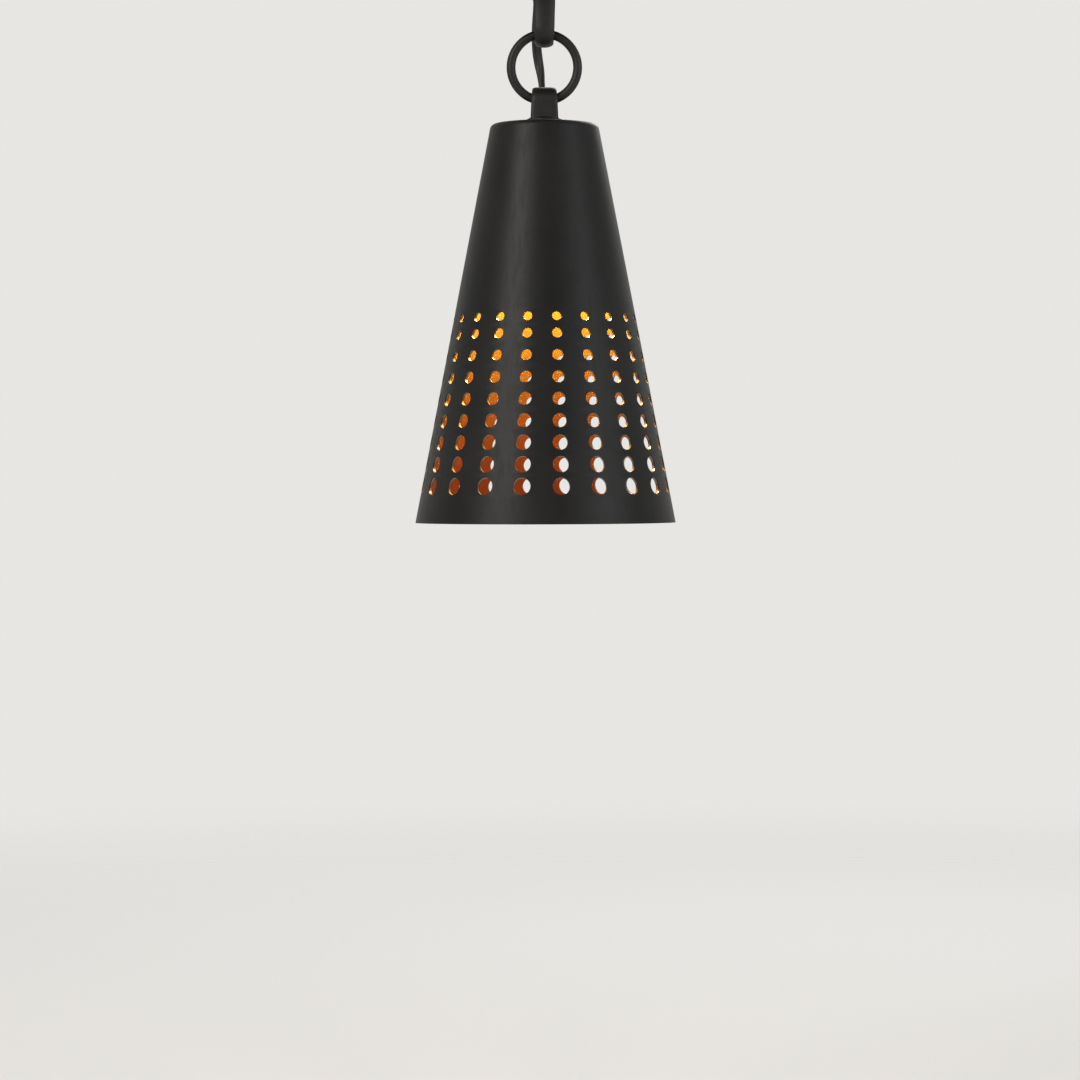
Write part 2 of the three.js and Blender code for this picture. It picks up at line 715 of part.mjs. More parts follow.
const leadEnd = capInside - leadTail;
const innerRun = [
  [shadeGland.x, shadeGland.y, shadeCeiling - glandCollar - faceGap],
  [shadeGland.x, shadeGland.y - 0.1, shadeCeiling - glandCollar - 3],
  [shadeGland.x / 2, (shadeGland.y + cordEntryY) / 2, (shadeCeiling - glandCollar + capShoulderTop) / 2],
  [0, cordEntryY + 0.2, capShoulderTop + 2.5],
  [0, cordEntryY, capShoulderTop],
  [0, cordEntryY, leadEnd],
];
piece("inner_lead", drawn(innerRun, cordWidth, cordThickness, cordSides, 9), "cord");
for (const [number, side] of [[1, -1], [2, 1]]) {
  const x = side * holderTerminalX;
  const screw = disc(holderTerminalRadius, coreTop, coreTop + holderTerminalHeight, middleSides);
  piece(`holder_terminal_${number}`, screw.translate(x, holderTerminalY, 0), "brass");
  const wireHeight = coreTop + conductorRadius + faceGap;
  const run = [
    [side * 1.2, cordEntryY, leadEnd - faceGap],
    [side * 2, cordEntryY - 0.2, leadEnd - 2],
    [x * 0.8, cordEntryY - 2, wireHeight + 1],
    [x, holderTerminalY + holderTerminalRadius + 2, wireHeight],
    [x, holderTerminalY + holderTerminalRadius + faceGap, wireHeight],
  ];
  piece(`conductor_${number}`, drawn(run, 2 * conductorRadius, 2 * conductorRadius, 6, 7), "copper");
}

// Bulb
piece("bulb_tip", disc(bulbTipRadius, insulatorTop, bulbTip, middleSides), "zinc");
const insulatorProfile = [
  [0, bulbCapTop],
  [threadRoot - insulatorInset, bulbCapTop],
  [bulbTipRadius + insulatorLip, insulatorTop],
  [0, insulatorTop],
];
piece("bulb_insulator", turned(insulatorProfile, middleSides), "phenolic");
const threadProfile = [];
for (let turn = 0; turn < threadTurns; turn++) {
  const low = bulbCapEdge + capRim + turn * threadPitch;
  threadProfile.push([threadRoot, low]);
  threadProfile.push([threadCrest, low + threadPitch / 2]);
}
const capInner = threadRoot - capWall;
const bulbCapProfile = [
  [0, bulbCapTop - capWall],
  [capInner, bulbCapTop - capWall],
  [capInner, bulbCapEdge],
  [threadRoot, bulbCapEdge],
  ...threadProfile,
  [threadRoot - capTaper, bulbCapTop],
  [0, bulbCapTop],
];
piece("bulb_cap", turned(bulbCapProfile, middleSides), "brass");

// The envelope widens from the cap to a rounded end
const neckTop = bulbCapEdge + glassNeckLength;
const neckEnd = bulbCapEdge - glassNeckDrop;
const widest = glassTip + glassDome;
const flareSteps = 3;
const domeSteps = 4;
const envelope = (inset) => {
  const points = [[glassNeckRadius - inset, neckTop], [glassNeckRadius - inset, neckEnd]];
  for (let i = 1; i < flareSteps; i++) {
    const share = i / flareSteps;
    const growth = THREE.MathUtils.smoothstep(share, 0, 1);
    const radius = THREE.MathUtils.lerp(glassNeckRadius, glassRadius, growth);
    points.push([radius - inset, THREE.MathUtils.lerp(neckEnd, widest, share)]);
  }
  for (let i = 0; i < domeSteps; i++) {
    const angle = (Math.PI / 2) * (i / domeSteps);
    const radius = (glassRadius - inset) * Math.cos(angle);
    points.push([radius, widest - (glassDome - inset) * Math.sin(angle)]);
  }
  points.push([0, glassTip + inset]);
  return points;
};
const glassProfile = [...envelope(0).reverse(), ...envelope(glassWall)];
piece("bulb_glass", turned(glassProfile, roundSides), "glass");
const stemFlare = glassNeckRadius - glassWall - slipGap;
const stemFoot = neckTop - stemFootHeight;
const stemEnd = widest + stemClearance;
const stemProfile = [
  [0, stemEnd],
  [stemRadius, stemEnd],
  [stemRadius, bulbCapEdge - stemDrop],
  [stemFlare, stemFoot - stemFootHeight],
  [stemFlare, stemFoot],
  [0, stemFoot],
];
piece("bulb_stem", turned(stemProfile, middleSides), "glass");

// The filament hangs in a W from the end of the stem
const filamentTop = stemEnd - filamentWire / 2 - faceGap;
const filamentEnds = filamentTop - filamentWire;
const filamentLow = widest - filamentWire;
const filamentRun = [
  [-filamentHalf, 0, filamentEnds],
  [-filamentHalf * 0.8, 0, filamentLow],
  [-filamentHalf * 0.4, 0, widest],
  [0, 0, filamentTop],
  [filamentHalf * 0.4, 0, widest],
  [filamentHalf * 0.8, 0, filamentLow],
  [filamentHalf, 0, filamentEnds],
];
piece("filament", drawn(filamentRun, filamentWire, filamentWire, 6, 14), "glow");

piece("bulb_seal", washer(sealOuter, sealInner, bodyEdge - sealHeight, bodyEdge, roundSides), "silicone");

export default group;
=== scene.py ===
"""Outdoor pendant light: a drilled conical shade hung from a ceiling fitting by two loops and a ring.

Metres, +Z up. The origin is the middle of the ceiling face, +X is to the right and -Y is the front. A size
that a solid of the frame has is read from that solid. The other sizes are fields of the classes.
"""

import json
import logging
import math
from dataclasses import dataclass, field
from enum import Enum
from typing import Any, Callable, Optional, Sequence

import bmesh
import bpy
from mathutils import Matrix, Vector
from mathutils.geometry import interpolate_bezier


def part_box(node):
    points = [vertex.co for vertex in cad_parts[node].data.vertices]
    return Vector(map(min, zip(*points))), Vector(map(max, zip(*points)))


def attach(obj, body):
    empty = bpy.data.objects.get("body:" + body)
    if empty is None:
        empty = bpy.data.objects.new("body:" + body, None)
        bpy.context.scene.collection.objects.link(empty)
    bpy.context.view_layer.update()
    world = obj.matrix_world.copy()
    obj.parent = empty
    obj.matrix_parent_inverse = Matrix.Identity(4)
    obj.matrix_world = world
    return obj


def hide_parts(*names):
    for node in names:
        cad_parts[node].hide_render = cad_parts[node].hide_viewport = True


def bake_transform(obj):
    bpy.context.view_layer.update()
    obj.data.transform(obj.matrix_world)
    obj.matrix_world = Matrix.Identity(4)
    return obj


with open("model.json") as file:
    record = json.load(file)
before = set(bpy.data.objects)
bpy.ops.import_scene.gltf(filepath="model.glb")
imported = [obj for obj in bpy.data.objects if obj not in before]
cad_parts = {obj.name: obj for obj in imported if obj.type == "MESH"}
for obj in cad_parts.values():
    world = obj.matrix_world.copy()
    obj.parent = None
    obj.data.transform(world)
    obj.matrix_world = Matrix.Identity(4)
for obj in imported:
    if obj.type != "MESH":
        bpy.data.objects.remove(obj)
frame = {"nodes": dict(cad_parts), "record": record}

LOG = logging.getLogger("pendant_light")
TURN = 2 * math.pi
SIDES = (("left", -1.0), ("right", 1.0))
Point = Sequence[float]
Profile = list[Point]
Piece = bpy.types.Object
Colour = tuple[float, float, float]
Pair = tuple[float, float]


class Body(Enum):
    """The bodies that pieces ride on."""

    CEILING = "ceiling_fitting"
    RING = "ring"
    SHADE = "shade"
    SEAL = "bulb_seal"
    BULB = "bulb"


class Slot(Enum):
    """The finishes of the light, by the names of their material slots."""

    COAT = "powder_coat"
    CAST = "cast_black"
    ZINC = "zinc_steel"
    BRASS = "brass"
    COPPER = "copper"
    RUBBER = "rubber"
    CORD = "cord_jacket"
    PHENOLIC = "phenolic"
    PLASTIC = "pale_plastic"
    PORCELAIN = "porcelain"
    SILICONE = "silicone"
    GLASS = "amber_glass"
    FILAMENT = "filament"


@dataclass(frozen=True)
class Solid:
    """The box of one solid of the frame."""

    low: Point
    high: Point

    @classmethod
    def of(cls, node: str) -> "Solid":
        """Measure a solid to a micrometre.

        Args:
            node: the solid's name in the frame.

        Returns:
            Its box.
        """
        low, high = (tuple(round(value, 6) for value in corner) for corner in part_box(node))
        return cls(low, high)

    @property
    def bottom(self) -> float:
        """Return its lowest level."""
        return self.low[2]

    @property
    def top(self) -> float:
        """Return its highest level."""
        return self.high[2]

    @property
    def middle(self) -> Vector:
        """Return its middle."""
        return Vector((a + b) / 2 for a, b in zip(self.low, self.high))

    @property
    def reach(self) -> Pair:
        """Return half of its width and half of its depth."""
        return (self.high[0] - self.low[0]) / 2, (self.high[1] - self.low[1]) / 2

    @property
    def radius(self) -> float:
        """Return the radius of a round one."""
        return max(self.reach)


@dataclass(frozen=True)
class Cone:
    """The form of the shade's wall. Its solid is faceted, so the radii are given here."""

    top: float = -0.094
    height: float = 0.1992
    rim_radius: float = 0.0652
    top_radius: float = 0.02684
    wall: float = 0.0015

    @property
    def rim_level(self) -> float:
        """Return the level of the rim."""
        return self.top - self.height

    @property
    def taper(self) -> float:
        """Return how much narrower the cone gets for each metre upwards."""
        return (self.rim_radius - self.top_radius) / self.height

    def radius(self, above: float) -> float:
        """Return the outer radius at a height above the rim."""
        return self.rim_radius - self.taper * above


class Value:
    """A number that changes over a surface. Arithmetic on it adds Math nodes."""

    def __init__(self, graph: "Graph", socket: bpy.types.NodeSocket) -> None:
        """Wrap a socket.

        Args:
            graph: the node tree that the socket is in.
            socket: the output that carries the number.
        """
        self.graph = graph
        self.socket = socket

    def _math(self, operation: str, first: Any, second: Any) -> "Value":
        """Add one Math node.

        Args:
            operation: the node's operation.
            first: a number or a Value.
            second: a number or a Value.

        Returns:
            The node's result.
        """
        return self.graph.value("ShaderNodeMath", 0, {"operation": operation}, {0: first, 1: second})

    def __add__(self, other: Any) -> "Value":
        """Return self + other."""
        return self._math("ADD", self, other)

    __radd__ = __add__

    def __sub__(self, other: Any) -> "Value":
        """Return self - other."""
        return self._math("SUBTRACT", self, other)

    def __rsub__(self, other: Any) -> "Value":
        """Return other - self."""
        return self._math("SUBTRACT", other, self)

    def __mul__(self, other: Any) -> "Value":
        """Return self * other."""
        return self._math("MULTIPLY", self, other)

    __rmul__ = __mul__

    def __pow__(self, other: Any) -> "Value":
        """Return self to the power of other."""
        return self._math("POWER", self, other)

    def most(self, other: Any) -> "Value":
        """Return the larger of self and other."""
        return self._math("MAXIMUM", self, other)

    def step(self, low: float, high: float, start: float = 0.0, end: float = 1.0) -> "Value":
        """Ease from one value to another as this number passes from low to high.

        Args:
            low: where the change starts.
            high: where it ends.
            start: the value before low.
            end: the value after high.

        Returns:
            The eased value.
        """
        inputs = {0: self, 1: low, 2: high, 3: start, 4: end}
        return self.graph.value("ShaderNodeMapRange", 0, {"interpolation_type": "SMOOTHSTEP"}, inputs)

    def fall(self, low: float, high: float) -> "Value":
        """Ease from 1 to 0 as this number passes from low to high."""
        return self.step(low, high, 1.0, 0.0)


class Graph:
    """The node tree of one material, or of the room."""

    def __init__(self, owner: Any) -> None:
        """Empty the node tree of its owner.

        Args:
            owner: the material or the world that the tree belongs to.
        """
        self.owner = owner
        owner.use_nodes = True
        self.tree = owner.node_tree
        self.tree.nodes.clear()

    def add(
        self, kind: str, settings: Optional[dict] = None, inputs: Optional[dict] = None
    ) -> bpy.types.Node:
        """Add a node.

        Args:
            kind: the node's type.
            settings: its properties, which are set first.
            inputs: Values, output sockets or plain values for its sockets, by name or place.

        Returns:
            The new node.
        """
        node = self.tree.nodes.new(kind)
        for name, value in (settings or {}).items():
            setattr(node, name, value)
        for place, value in (inputs or {}).items():
            source = value.socket if isinstance(value, Value) else value
            if isinstance(source, bpy.types.NodeSocket):
                self.tree.links.new(source, node.inputs[place])
            else:
                node.inputs[place].default_value = source
        return node

    def value(
        self, kind: str, output: Any, settings: Optional[dict] = None, inputs: Optional[dict] = None
    ) -> Value:
        """Add a node and take a number from it.

        Args:
            kind: the node's type.
            output: the name or place of the output that is taken.
            settings: the node's properties.
            inputs: what its sockets are fed.

        Returns:
            The number.
        """
        return Value(self, self.add(kind, settings, inputs).outputs[output])

    def place(self) -> bpy.types.NodeSocket:
        """Return the Object coordinates."""
        return self.add("ShaderNodeTexCoord").outputs["Object"]

    def stretched(self, scale: Point) -> bpy.types.NodeSocket:
        """Return the Object coordinates, scaled along each axis."""
        return self.add("ShaderNodeMapping", None, {"Vector": self.place(), "Scale": scale}).outputs[0]

    def axes(self) -> list[Value]:
        """Return the Object coordinates as three values."""
        node = self.add("ShaderNodeSeparateXYZ", None, {0: self.place()})
        return [Value(self, output) for output in node.outputs]

    def facing_up(self) -> Value:
        """Return how far the surface faces upwards."""
        normal = self.value("ShaderNodeNewGeometry", "Normal")
        return self.value("ShaderNodeSeparateXYZ", 2, None, {0: normal})

    def edge(self) -> Value:
        """Return the piece's own mark of its outer edges."""
        return self.value("ShaderNodeAttribute", "Fac", {"attribute_name": Bench.EDGE})

    def noise(self, scale: float, detail: float, vector: Optional[bpy.types.NodeSocket] = None) -> Value:
        """Add a noise texture.

        Args:
            scale: its features for each metre.
            detail: its octaves.
            vector: its coordinates, or None for the Object coordinates.

        Returns:
            The noise.
        """
        inputs = {"Vector": vector or self.place(), "Scale": scale, "Detail": detail}
        return self.value("ShaderNodeTexNoise", 0, None, inputs)

    def cells(self, scale: float) -> Value:
        """Return the distance to the nearest of many scattered points."""
        inputs = {"Vector": self.place(), "Scale": scale}
        return self.value("ShaderNodeTexVoronoi", "Distance", None, inputs)

    def mix(self, share: Any, first: Any, second: Any) -> bpy.types.NodeSocket:
        """Mix two colours.

        Args:
            share: how much of the second shows.
            first: a colour or a socket.
            second: a colour or a socket.

        Returns:
            The mixed colour.
        """
        first, second = ((*c, 1.0) if isinstance(c, tuple) else c for c in (first, second))
        node = self.add("ShaderNodeMix", {"data_type": "RGBA"}, {0: share, 6: first, 7: second})
        return node.outputs[2]

    def bump(self, height: Value, depth: float, strength: float = 1.0) -> bpy.types.NodeSocket:
        """Return a normal that follows a height.

        Args:
            height: the height, from 0 to 1.
            depth: what a height of 1 stands for, in metres.
            strength: the share of it that shows.

        Returns:
            The normal.
        """
        inputs = {"Height": height, "Distance": depth, "Strength": strength}
        return self.add("ShaderNodeBump", None, inputs).outputs[0]


@dataclass(frozen=True)
class Finish:
    """A finish, made for one material slot."""

    slot: Slot

    def material(self) -> bpy.types.Material:
        """Return the material: a Principled shader and what feeds it."""
        graph = Graph(bpy.data.materials.new(self.slot.value))
        shader = graph.add("ShaderNodeBsdfPrincipled", None, self.inputs(graph))
        graph.add("ShaderNodeOutputMaterial", None, {"Surface": shader.outputs[0]})
        return graph.owner

    def inputs(self, graph: Graph) -> dict[str, Any]:
        """Work out what feeds the shader. Each finish has its own way.

        Args:
            graph: the material's node tree.

        Returns:
            Values or links, by the names of the shader's sockets.
        """
        raise NotImplementedError


@dataclass(frozen=True)
class PowderCoat(Finish):
    """Black satin powder coat: orange peel, rain marks, dust on top, thin at the edges.

    Inside the shade it is warm, with painted shade at the neck, where the bulb is close, and a painted
    redder falloff of the bulb's light towards the rim. The fades there are heights above the shade's rim.
    """

    black: Colour = (0.0048, 0.0045, 0.0042)
    faded: Colour = (0.0088, 0.0082, 0.0076)
    dust: Colour = (0.050, 0.045, 0.038)
    thin: Colour = (0.040, 0.036, 0.032)
    drilled: Colour = (0.24, 0.195, 0.135)
    # Lining colours: the neck's darker tone is painted shade near the bulb, and the rim's redder tone is a
    # painted falloff of its light.
    inside_top: Colour = (0.062, 0.036, 0.0010)
    inside_rim_painted_falloff: Colour = (0.095, 0.017, 0.0010)
    inside_neck_painted_shade: Colour = (0.034, 0.0155, 0.0007)
    peel_scale: float = 1300.0
    peel_depth: float = 0.00004
    cone: Cone = Cone()
    # Heights above the rim of the painted falloff towards the rim and of the painted shade at the neck.
    painted_falloff_fade: Point = (0.0132, 0.1132)
    painted_shade_fade: Point = (0.1052, 0.1482)
    holes_start: Point = (0.003, 0.006)
    holes_end: Point = (0.1232, 0.1332)

    def inputs(self, graph: Graph) -> dict[str, Any]:
        """Return what feeds the shader, by the names of its sockets."""
        cloud = graph.noise(38.0, 4.0)
        streak = graph.noise(1.0, 3.0, graph.stretched((420.0, 420.0, 14.0)))
        peel = graph.noise(self.peel_scale, 1.5)
        grain = graph.noise(5200.0, 1.0)
        dusty = graph.facing_up().step(0.55, 0.98) * graph.noise(210.0, 4.0).step(0.35, 0.75)
        worn = graph.edge().step(0.35, 0.95) * graph.noise(620.0, 3.0).step(0.42, 0.66)
        tone = graph.mix(cloud.step(0.35, 0.7) * 0.8, self.black, self.faded)
        tone = graph.mix(worn * 0.55, tone, self.thin)
        tone = graph.mix(dusty * 0.30, tone, self.dust)
        across, along, up = graph.axes()
        above = up - self.cone.rim_level
        depth = self.cone.rim_radius - above * self.cone.taper - (across**2.0 + along**2.0) ** 0.5
        under_top = self.cone.height - self.cone.wall
        inside = depth.step(0.0005, 0.0010) * above.fall(under_top - 0.0011, under_top - 0.0003)
        # The lining's colour stands in for the bulb's light: painted shade near the neck, where the bulb is
        # close, and a painted redder falloff towards the rim.
        lining = graph.mix(above.step(*self.painted_falloff_fade), self.inside_rim_painted_falloff, self.inside_top)
        lining = graph.mix(above.step(*self.painted_shade_fade), lining, self.inside_neck_painted_shade)
        tone = graph.mix(inside, tone, lining)
        drilled = above.step(*self.holes_start) * above.fall(*self.holes_end)
        wall = depth.step(0.0003, 0.0006) * depth.fall(0.0011, 0.0014) * drilled
        tone = graph.mix(wall * 0.9, tone, self.drilled)
        rough = 0.37 + cloud * 0.08 + streak.step(0.45, 0.75) * 0.06 + dusty * 0.22 - worn * 0.06
        return {
            "Base Color": tone,
            "Metallic": wall * 0.5,
            "Roughness": rough + inside * 0.54 - wall * 0.58,
            "Specular IOR Level": 0.24,
            "Normal": graph.bump(peel * 0.8 + grain * 0.2, self.peel_depth),
        }


@dataclass(frozen=True)
class CastLacquer(Finish):
    """Black lacquer on cast and drawn iron, rubbed bright where the loops and the ring bear."""

    black: Colour = (0.0075, 0.0070, 0.0066)
    brown: Colour = (0.0150, 0.0120, 0.0095)
    steel: Colour = (0.20, 0.19, 0.18)
    play: Pair = (0.0003, 0.0002)
    rubbed_reach: float = 0.0042

    def inputs(self, graph: Graph) -> dict[str, Any]:
        """Return what feeds the shader, by the names of its sockets."""
        ring = Solid.of("ring")
        wire = 2 * ring.reach[1]
        across, along, up = graph.axes()
        near = []
        for bearing in (ring.top - wire - self.play[0], ring.bottom + wire + self.play[1]):
            distance = (across**2.0 + along**2.0 + (up - bearing) ** 2.0) ** 0.5
            near.append(distance.fall(self.rubbed_reach * 0.25, self.rubbed_reach))
        rubbed = near[0].most(near[1])
        cloud = graph.noise(120.0, 4.0)
        sand = graph.noise(1500.0, 3.0)
        pits = graph.cells(900.0)
        scuffs = graph.noise(900.0, 4.0).step(0.5, 0.64)
        worn = (graph.edge().step(0.45, 1.0) * scuffs).most(rubbed * graph.noise(700.0, 3.0).step(0.3, 0.6))
        tone = graph.mix(cloud.step(0.4, 0.72), self.black, self.brown)
        return {
            "Base Color": graph.mix(worn * 0.8, tone, self.steel),
            "Metallic": worn * 0.9,
            "Roughness": 0.40 + cloud * 0.14 - worn * 0.08,
            "Specular IOR Level": 0.34,
            "Normal": graph.bump(sand * 0.7 + pits * 0.3, 0.00006, 0.8),
        }


@dataclass(frozen=True)
class PlatedMetal(Finish):
    """A plated or pressed metal with a clouded, faintly brushed skin."""

    bright: Colour
    dull: Colour
    rough: float
    brushed: Point = (900.0, 900.0, 60.0)

    def inputs(self, graph: Graph) -> dict[str, Any]:
        """Return what feeds the shader, by the names of its sockets."""
        cloud = graph.noise(260.0, 4.0)
        brush = graph.noise(1.0, 2.0, graph.stretched(self.brushed))
        tone = graph.mix(cloud.step(0.4, 0.75), self.bright, self.dull)
        return {
            "Base Color": graph.mix(graph.edge().step(0.4, 1.0) * 0.5, tone, self.bright),
            "Metallic": 1.0,
            "Roughness": self.rough + cloud * 0.14 + graph.cells(520.0) * 0.08,
            "Normal": graph.bump(brush, 0.00002, 0.5),
        }


@dataclass(frozen=True)
class Moulding(Finish):
    """A moulded plastic, rubber or ceramic body with a fine skin and shiny or dusty places."""

    body: Colour
    shade: Colour
    rough: float
    grain_scale: float
    grain_depth: float

    def inputs(self, graph: Graph) -> dict[str, Any]:
        """Return what feeds the shader, by the names of its sockets."""
        cloud = graph.noise(150.0, 4.0)
        tone = graph.mix(cloud.step(0.35, 0.7), self.body, self.shade)
        return {
            "Base Color": graph.mix(graph.edge().step(0.4, 1.0) * 0.4, tone, self.body),
            "Roughness": self.rough + cloud * 0.16 - 0.08,
            "Normal": graph.bump(graph.noise(self.grain_scale, 2.0), self.grain_depth, 0.7),
        }


@dataclass(frozen=True)
class AmberGlass(Finish):
    """Thin amber coated glass, lit from inside and denser towards its outline."""

    amber: Colour = (0.96, 0.58, 0.16)
    deep: Colour = (0.88, 0.40, 0.07)
    glow: Colour = (1.0, 0.46, 0.08)
    glow_strength: float = 0.30

    def inputs(self, graph: Graph) -> dict[str, Any]:
        """Return what feeds the shader, by the names of its sockets."""
        cloud = graph.noise(90.0, 3.0)
        rim = graph.value("ShaderNodeLayerWeight", "Facing", None, {"Blend": 0.35})
        return {
            "Base Color": graph.mix(cloud.step(0.3, 0.75), self.amber, self.deep),
            "Roughness": 0.02 + cloud * 0.03,
            "IOR": 1.5,
            "Transmission Weight": 1.0,
            "Alpha": 0.22 + rim * 0.50 + cloud * 0.06,
            "Emission Color": graph.mix(rim, self.glow, self.deep),
            "Emission Strength": self.glow_strength,
            "Normal": graph.bump(graph.noise(300.0, 2.0), 0.00003, 0.3),
        }


@dataclass(frozen=True)
class GlowingWire(Finish):
    """A lit filament, hotter in places."""

    hot: Colour = (1.0, 0.66, 0.24)
    cool: Colour = (1.0, 0.44, 0.08)
    strength: float = 7.0

    def inputs(self, graph: Graph) -> dict[str, Any]:
        """Return what feeds the shader, by the names of its sockets."""
        heat = graph.noise(700.0, 2.0).step(0.3, 0.7)
        colour = graph.mix(heat, self.cool, self.hot)
        return {
            "Base Color": colour,
            "Roughness": 0.4 + heat * 0.1,
            "Emission Color": colour,
            "Emission Strength": self.strength,
        }


class FinishBook:
    """Every finish of the light, each made once."""

    def __init__(self) -> None:
        """Make the materials."""
        finishes = (
            PowderCoat(Slot.COAT),
            CastLacquer(Slot.CAST),
            PlatedMetal(Slot.ZINC, (0.58, 0.59, 0.60), (0.40, 0.41, 0.42), 0.26),
            PlatedMetal(Slot.BRASS, (0.72, 0.51, 0.19), (0.46, 0.30, 0.10), 0.22),
            PlatedMetal(Slot.COPPER, (0.68, 0.31, 0.16), (0.42, 0.17, 0.09), 0.28),
            Moulding(Slot.RUBBER, (0.013, 0.012, 0.012), (0.022, 0.021, 0.020), 0.72, 2400.0, 4e-5),
            Moulding(Slot.CORD, (0.012, 0.011, 0.010), (0.020, 0.018, 0.016), 0.55, 2800.0, 3e-5),
            Moulding(Slot.PHENOLIC, (0.012, 0.009, 0.008), (0.022, 0.015, 0.011), 0.34, 1700.0, 1.5e-5),
            Moulding(Slot.PLASTIC, (0.72, 0.69, 0.60), (0.60, 0.56, 0.47), 0.46, 2600.0, 2e-5),
            Moulding(Slot.PORCELAIN, (0.76, 0.72, 0.63), (0.64, 0.59, 0.50), 0.50, 3200.0, 2e-5),
            Moulding(Slot.SILICONE, (0.30, 0.28, 0.25), (0.22, 0.20, 0.18), 0.60, 2200.0, 3e-5),
            AmberGlass(Slot.GLASS),
            GlowingWire(Slot.FILAMENT),
        )
        self.materials = {finish.slot: finish.material() for finish in finishes}

    def dress(self, piece: Piece, slot: Slot) -> None:
        """Give a piece one finish, in place of any that it has.

        Args:
            piece: the piece.
            slot: its finish.
        """
        if not piece.data.materials:
            piece.data.materials.append(self.materials[slot])
        for place in range(len(piece.data.materials)):
            piece.data.materials[place] = self.materials[slot]


class Bench:
    """The modelling bench: mesh operators on one piece at a time."""

    EDGE = "outer_edge"
    FULL_EDGE = math.radians(40.0)
    # Points nearer than DOUBLES are merged, edges shorter than SPECK are dissolved, and a point within TOUCH
    # of a level lies on it. A profile grows from a plane of size SEED. A tool stands PAST what it cuts.
    DOUBLES = 2e-6
    TOUCH = 1e-6
    SPECK = 1e-7
    SEED = 0.001
    PAST = 0.001

    @staticmethod
    def clear() -> None:
        """Deselect everything."""
        bpy.ops.object.select_all(action="DESELECT")

    @classmethod
    def hold(cls, *pieces: Piece) -> None:
        """Select pieces, the first of them active."""
        cls.clear()
        for piece in pieces:
            piece.select_set(True)
        bpy.context.view_layer.objects.active = pieces[0]

    @classmethod
    def edit(cls, piece: Piece) -> None:
        """Open a piece in edit mode with all of it selected."""
        cls.hold(piece)
        bpy.ops.object.mode_set(mode="EDIT")
        bpy.ops.mesh.select_all(action="SELECT")

    @staticmethod
    def shut() -> None:
        """Leave edit mode."""
        bpy.ops.object.mode_set(mode="OBJECT")

    @staticmethod
    def pick(piece: Piece, test: Callable[[bmesh.types.BMVert], bool]) -> None:
        """Select the points of the open piece that pass a test, and nothing else.

        Args:
            piece: the piece in edit mode.
            test: says whether a point is taken.
        """
        bpy.ops.mesh.select_mode(type="VERT")
        bpy.ops.mesh.select_all(action="DESELECT")
        mesh = bmesh.from_edit_mesh(piece.data)
        for vertex in mesh.verts:
            vertex.select = test(vertex)
        mesh.select_flush(True)
        bmesh.update_edit_mesh(piece.data)

    @staticmethod
    def push(step: Point) -> None:
        """Extrude what is selected by a step."""
        bpy.ops.mesh.extrude_region_move(TRANSFORM_OT_translate={"value": step})

    @staticmethod
    def named(name: str) -> Piece:
        """Name the piece that was just added, and put its place into its mesh."""
        piece = bpy.context.object
        piece.name = name
        piece.data.name = name
        bpy.ops.object.transform_apply(location=True, rotation=True, scale=True)
        return piece

    @classmethod
    def move(cls, piece: Piece, place: Point = (0, 0, 0), turn: Point = (0, 0, 0)) -> Piece:
        """Turn a piece about the origin and move it, and put that into its mesh.

        Args:
            piece: the piece.
            place: how far it moves.
            turn: the angles that it turns by about X, Y and Z.

        Returns:
            The piece.
        """
        piece.rotation_euler = turn
        piece.location = place
        cls.hold(piece)
        bpy.ops.object.transform_apply(location=True, rotation=True, scale=True)
        return piece

    @classmethod
    def copy(cls, piece: Piece, name: str) -> Piece:
        """Return a copy of a piece with its own mesh."""
        cls.hold(piece)
        bpy.ops.object.duplicate(linked=False)
        return cls.named(name)

    @classmethod
    def join(cls, *pieces: Piece) -> Piece:
        """Join pieces into the first of them."""
        cls.hold(*pieces)
        bpy.ops.object.join()
        return pieces[0]

    @classmethod
    def modify(cls, piece: Piece, kind: str, **settings: Any) -> Piece:
        """Add a modifier and apply it.

        Args:
            piece: the piece.
            kind: the modifier's type.
            **settings: its properties.

        Returns:
            The piece.
        """
        cls.hold(piece)
        modifier = piece.modifiers.new(kind.lower(), kind)
        for name, value in settings.items():
            setattr(modifier, name, value)
        bpy.ops.object.modifier_apply(modifier=modifier.name)
        return piece

    @classmethod
    def cut(cls, piece: Piece, tool: Piece, operation: str = "DIFFERENCE") -> Piece:
        """Cut a tool out of a piece, or unite or intersect them, and remove the tool.

        Args:
            piece: the piece.
            tool: what it is cut with.
            operation: the kind of cut.

        Returns:
            The piece.
        """
        cls.modify(piece, "BOOLEAN", operation=operation, object=tool, solver="EXACT")
        bpy.data.objects.remove(tool)
        return piece

    @classmethod
    def drill(cls, piece: Piece, drill: Piece, place: Point, turn: Point = (0, 0, 0)) -> Piece:
        """Cut a hole with a drill that is turned and moved into place.

        Args:
            piece: the piece.
            drill: the drill, on the Z axis.
            place: where the drill goes.
            turn: the angles that it turns by.

        Returns:
            The piece.
        """
        return cls.cut(piece, cls.move(drill, place, turn))

    @classmethod
    def rounded(cls, piece: Piece, width: float, segments: int = 3, angle: float = 30.0) -> Piece:
        """Round the sharp edges of a piece, and merge the points that meet there.

        Args:
            piece: the piece.
            width: the width of the rounding.
            segments: its steps.
            angle: the least angle that counts as sharp, in degrees.

        Returns:
            The piece.
        """
        limit = {"limit_method": "ANGLE", "angle_limit": math.radians(angle), "use_clamp_overlap": True}
        cls.modify(piece, "BEVEL", width=width, segments=segments, **limit)
        cls.edit(piece)
        cls.seal()
        return piece

    @classmethod
    def smooth(cls, piece: Piece, angle: float = 40.0) -> Piece:
        """Shade a piece smooth up to an angle in degrees."""
        cls.hold(piece)
        bpy.ops.object.shade_smooth_by_angle(angle=math.radians(angle))
        return piece

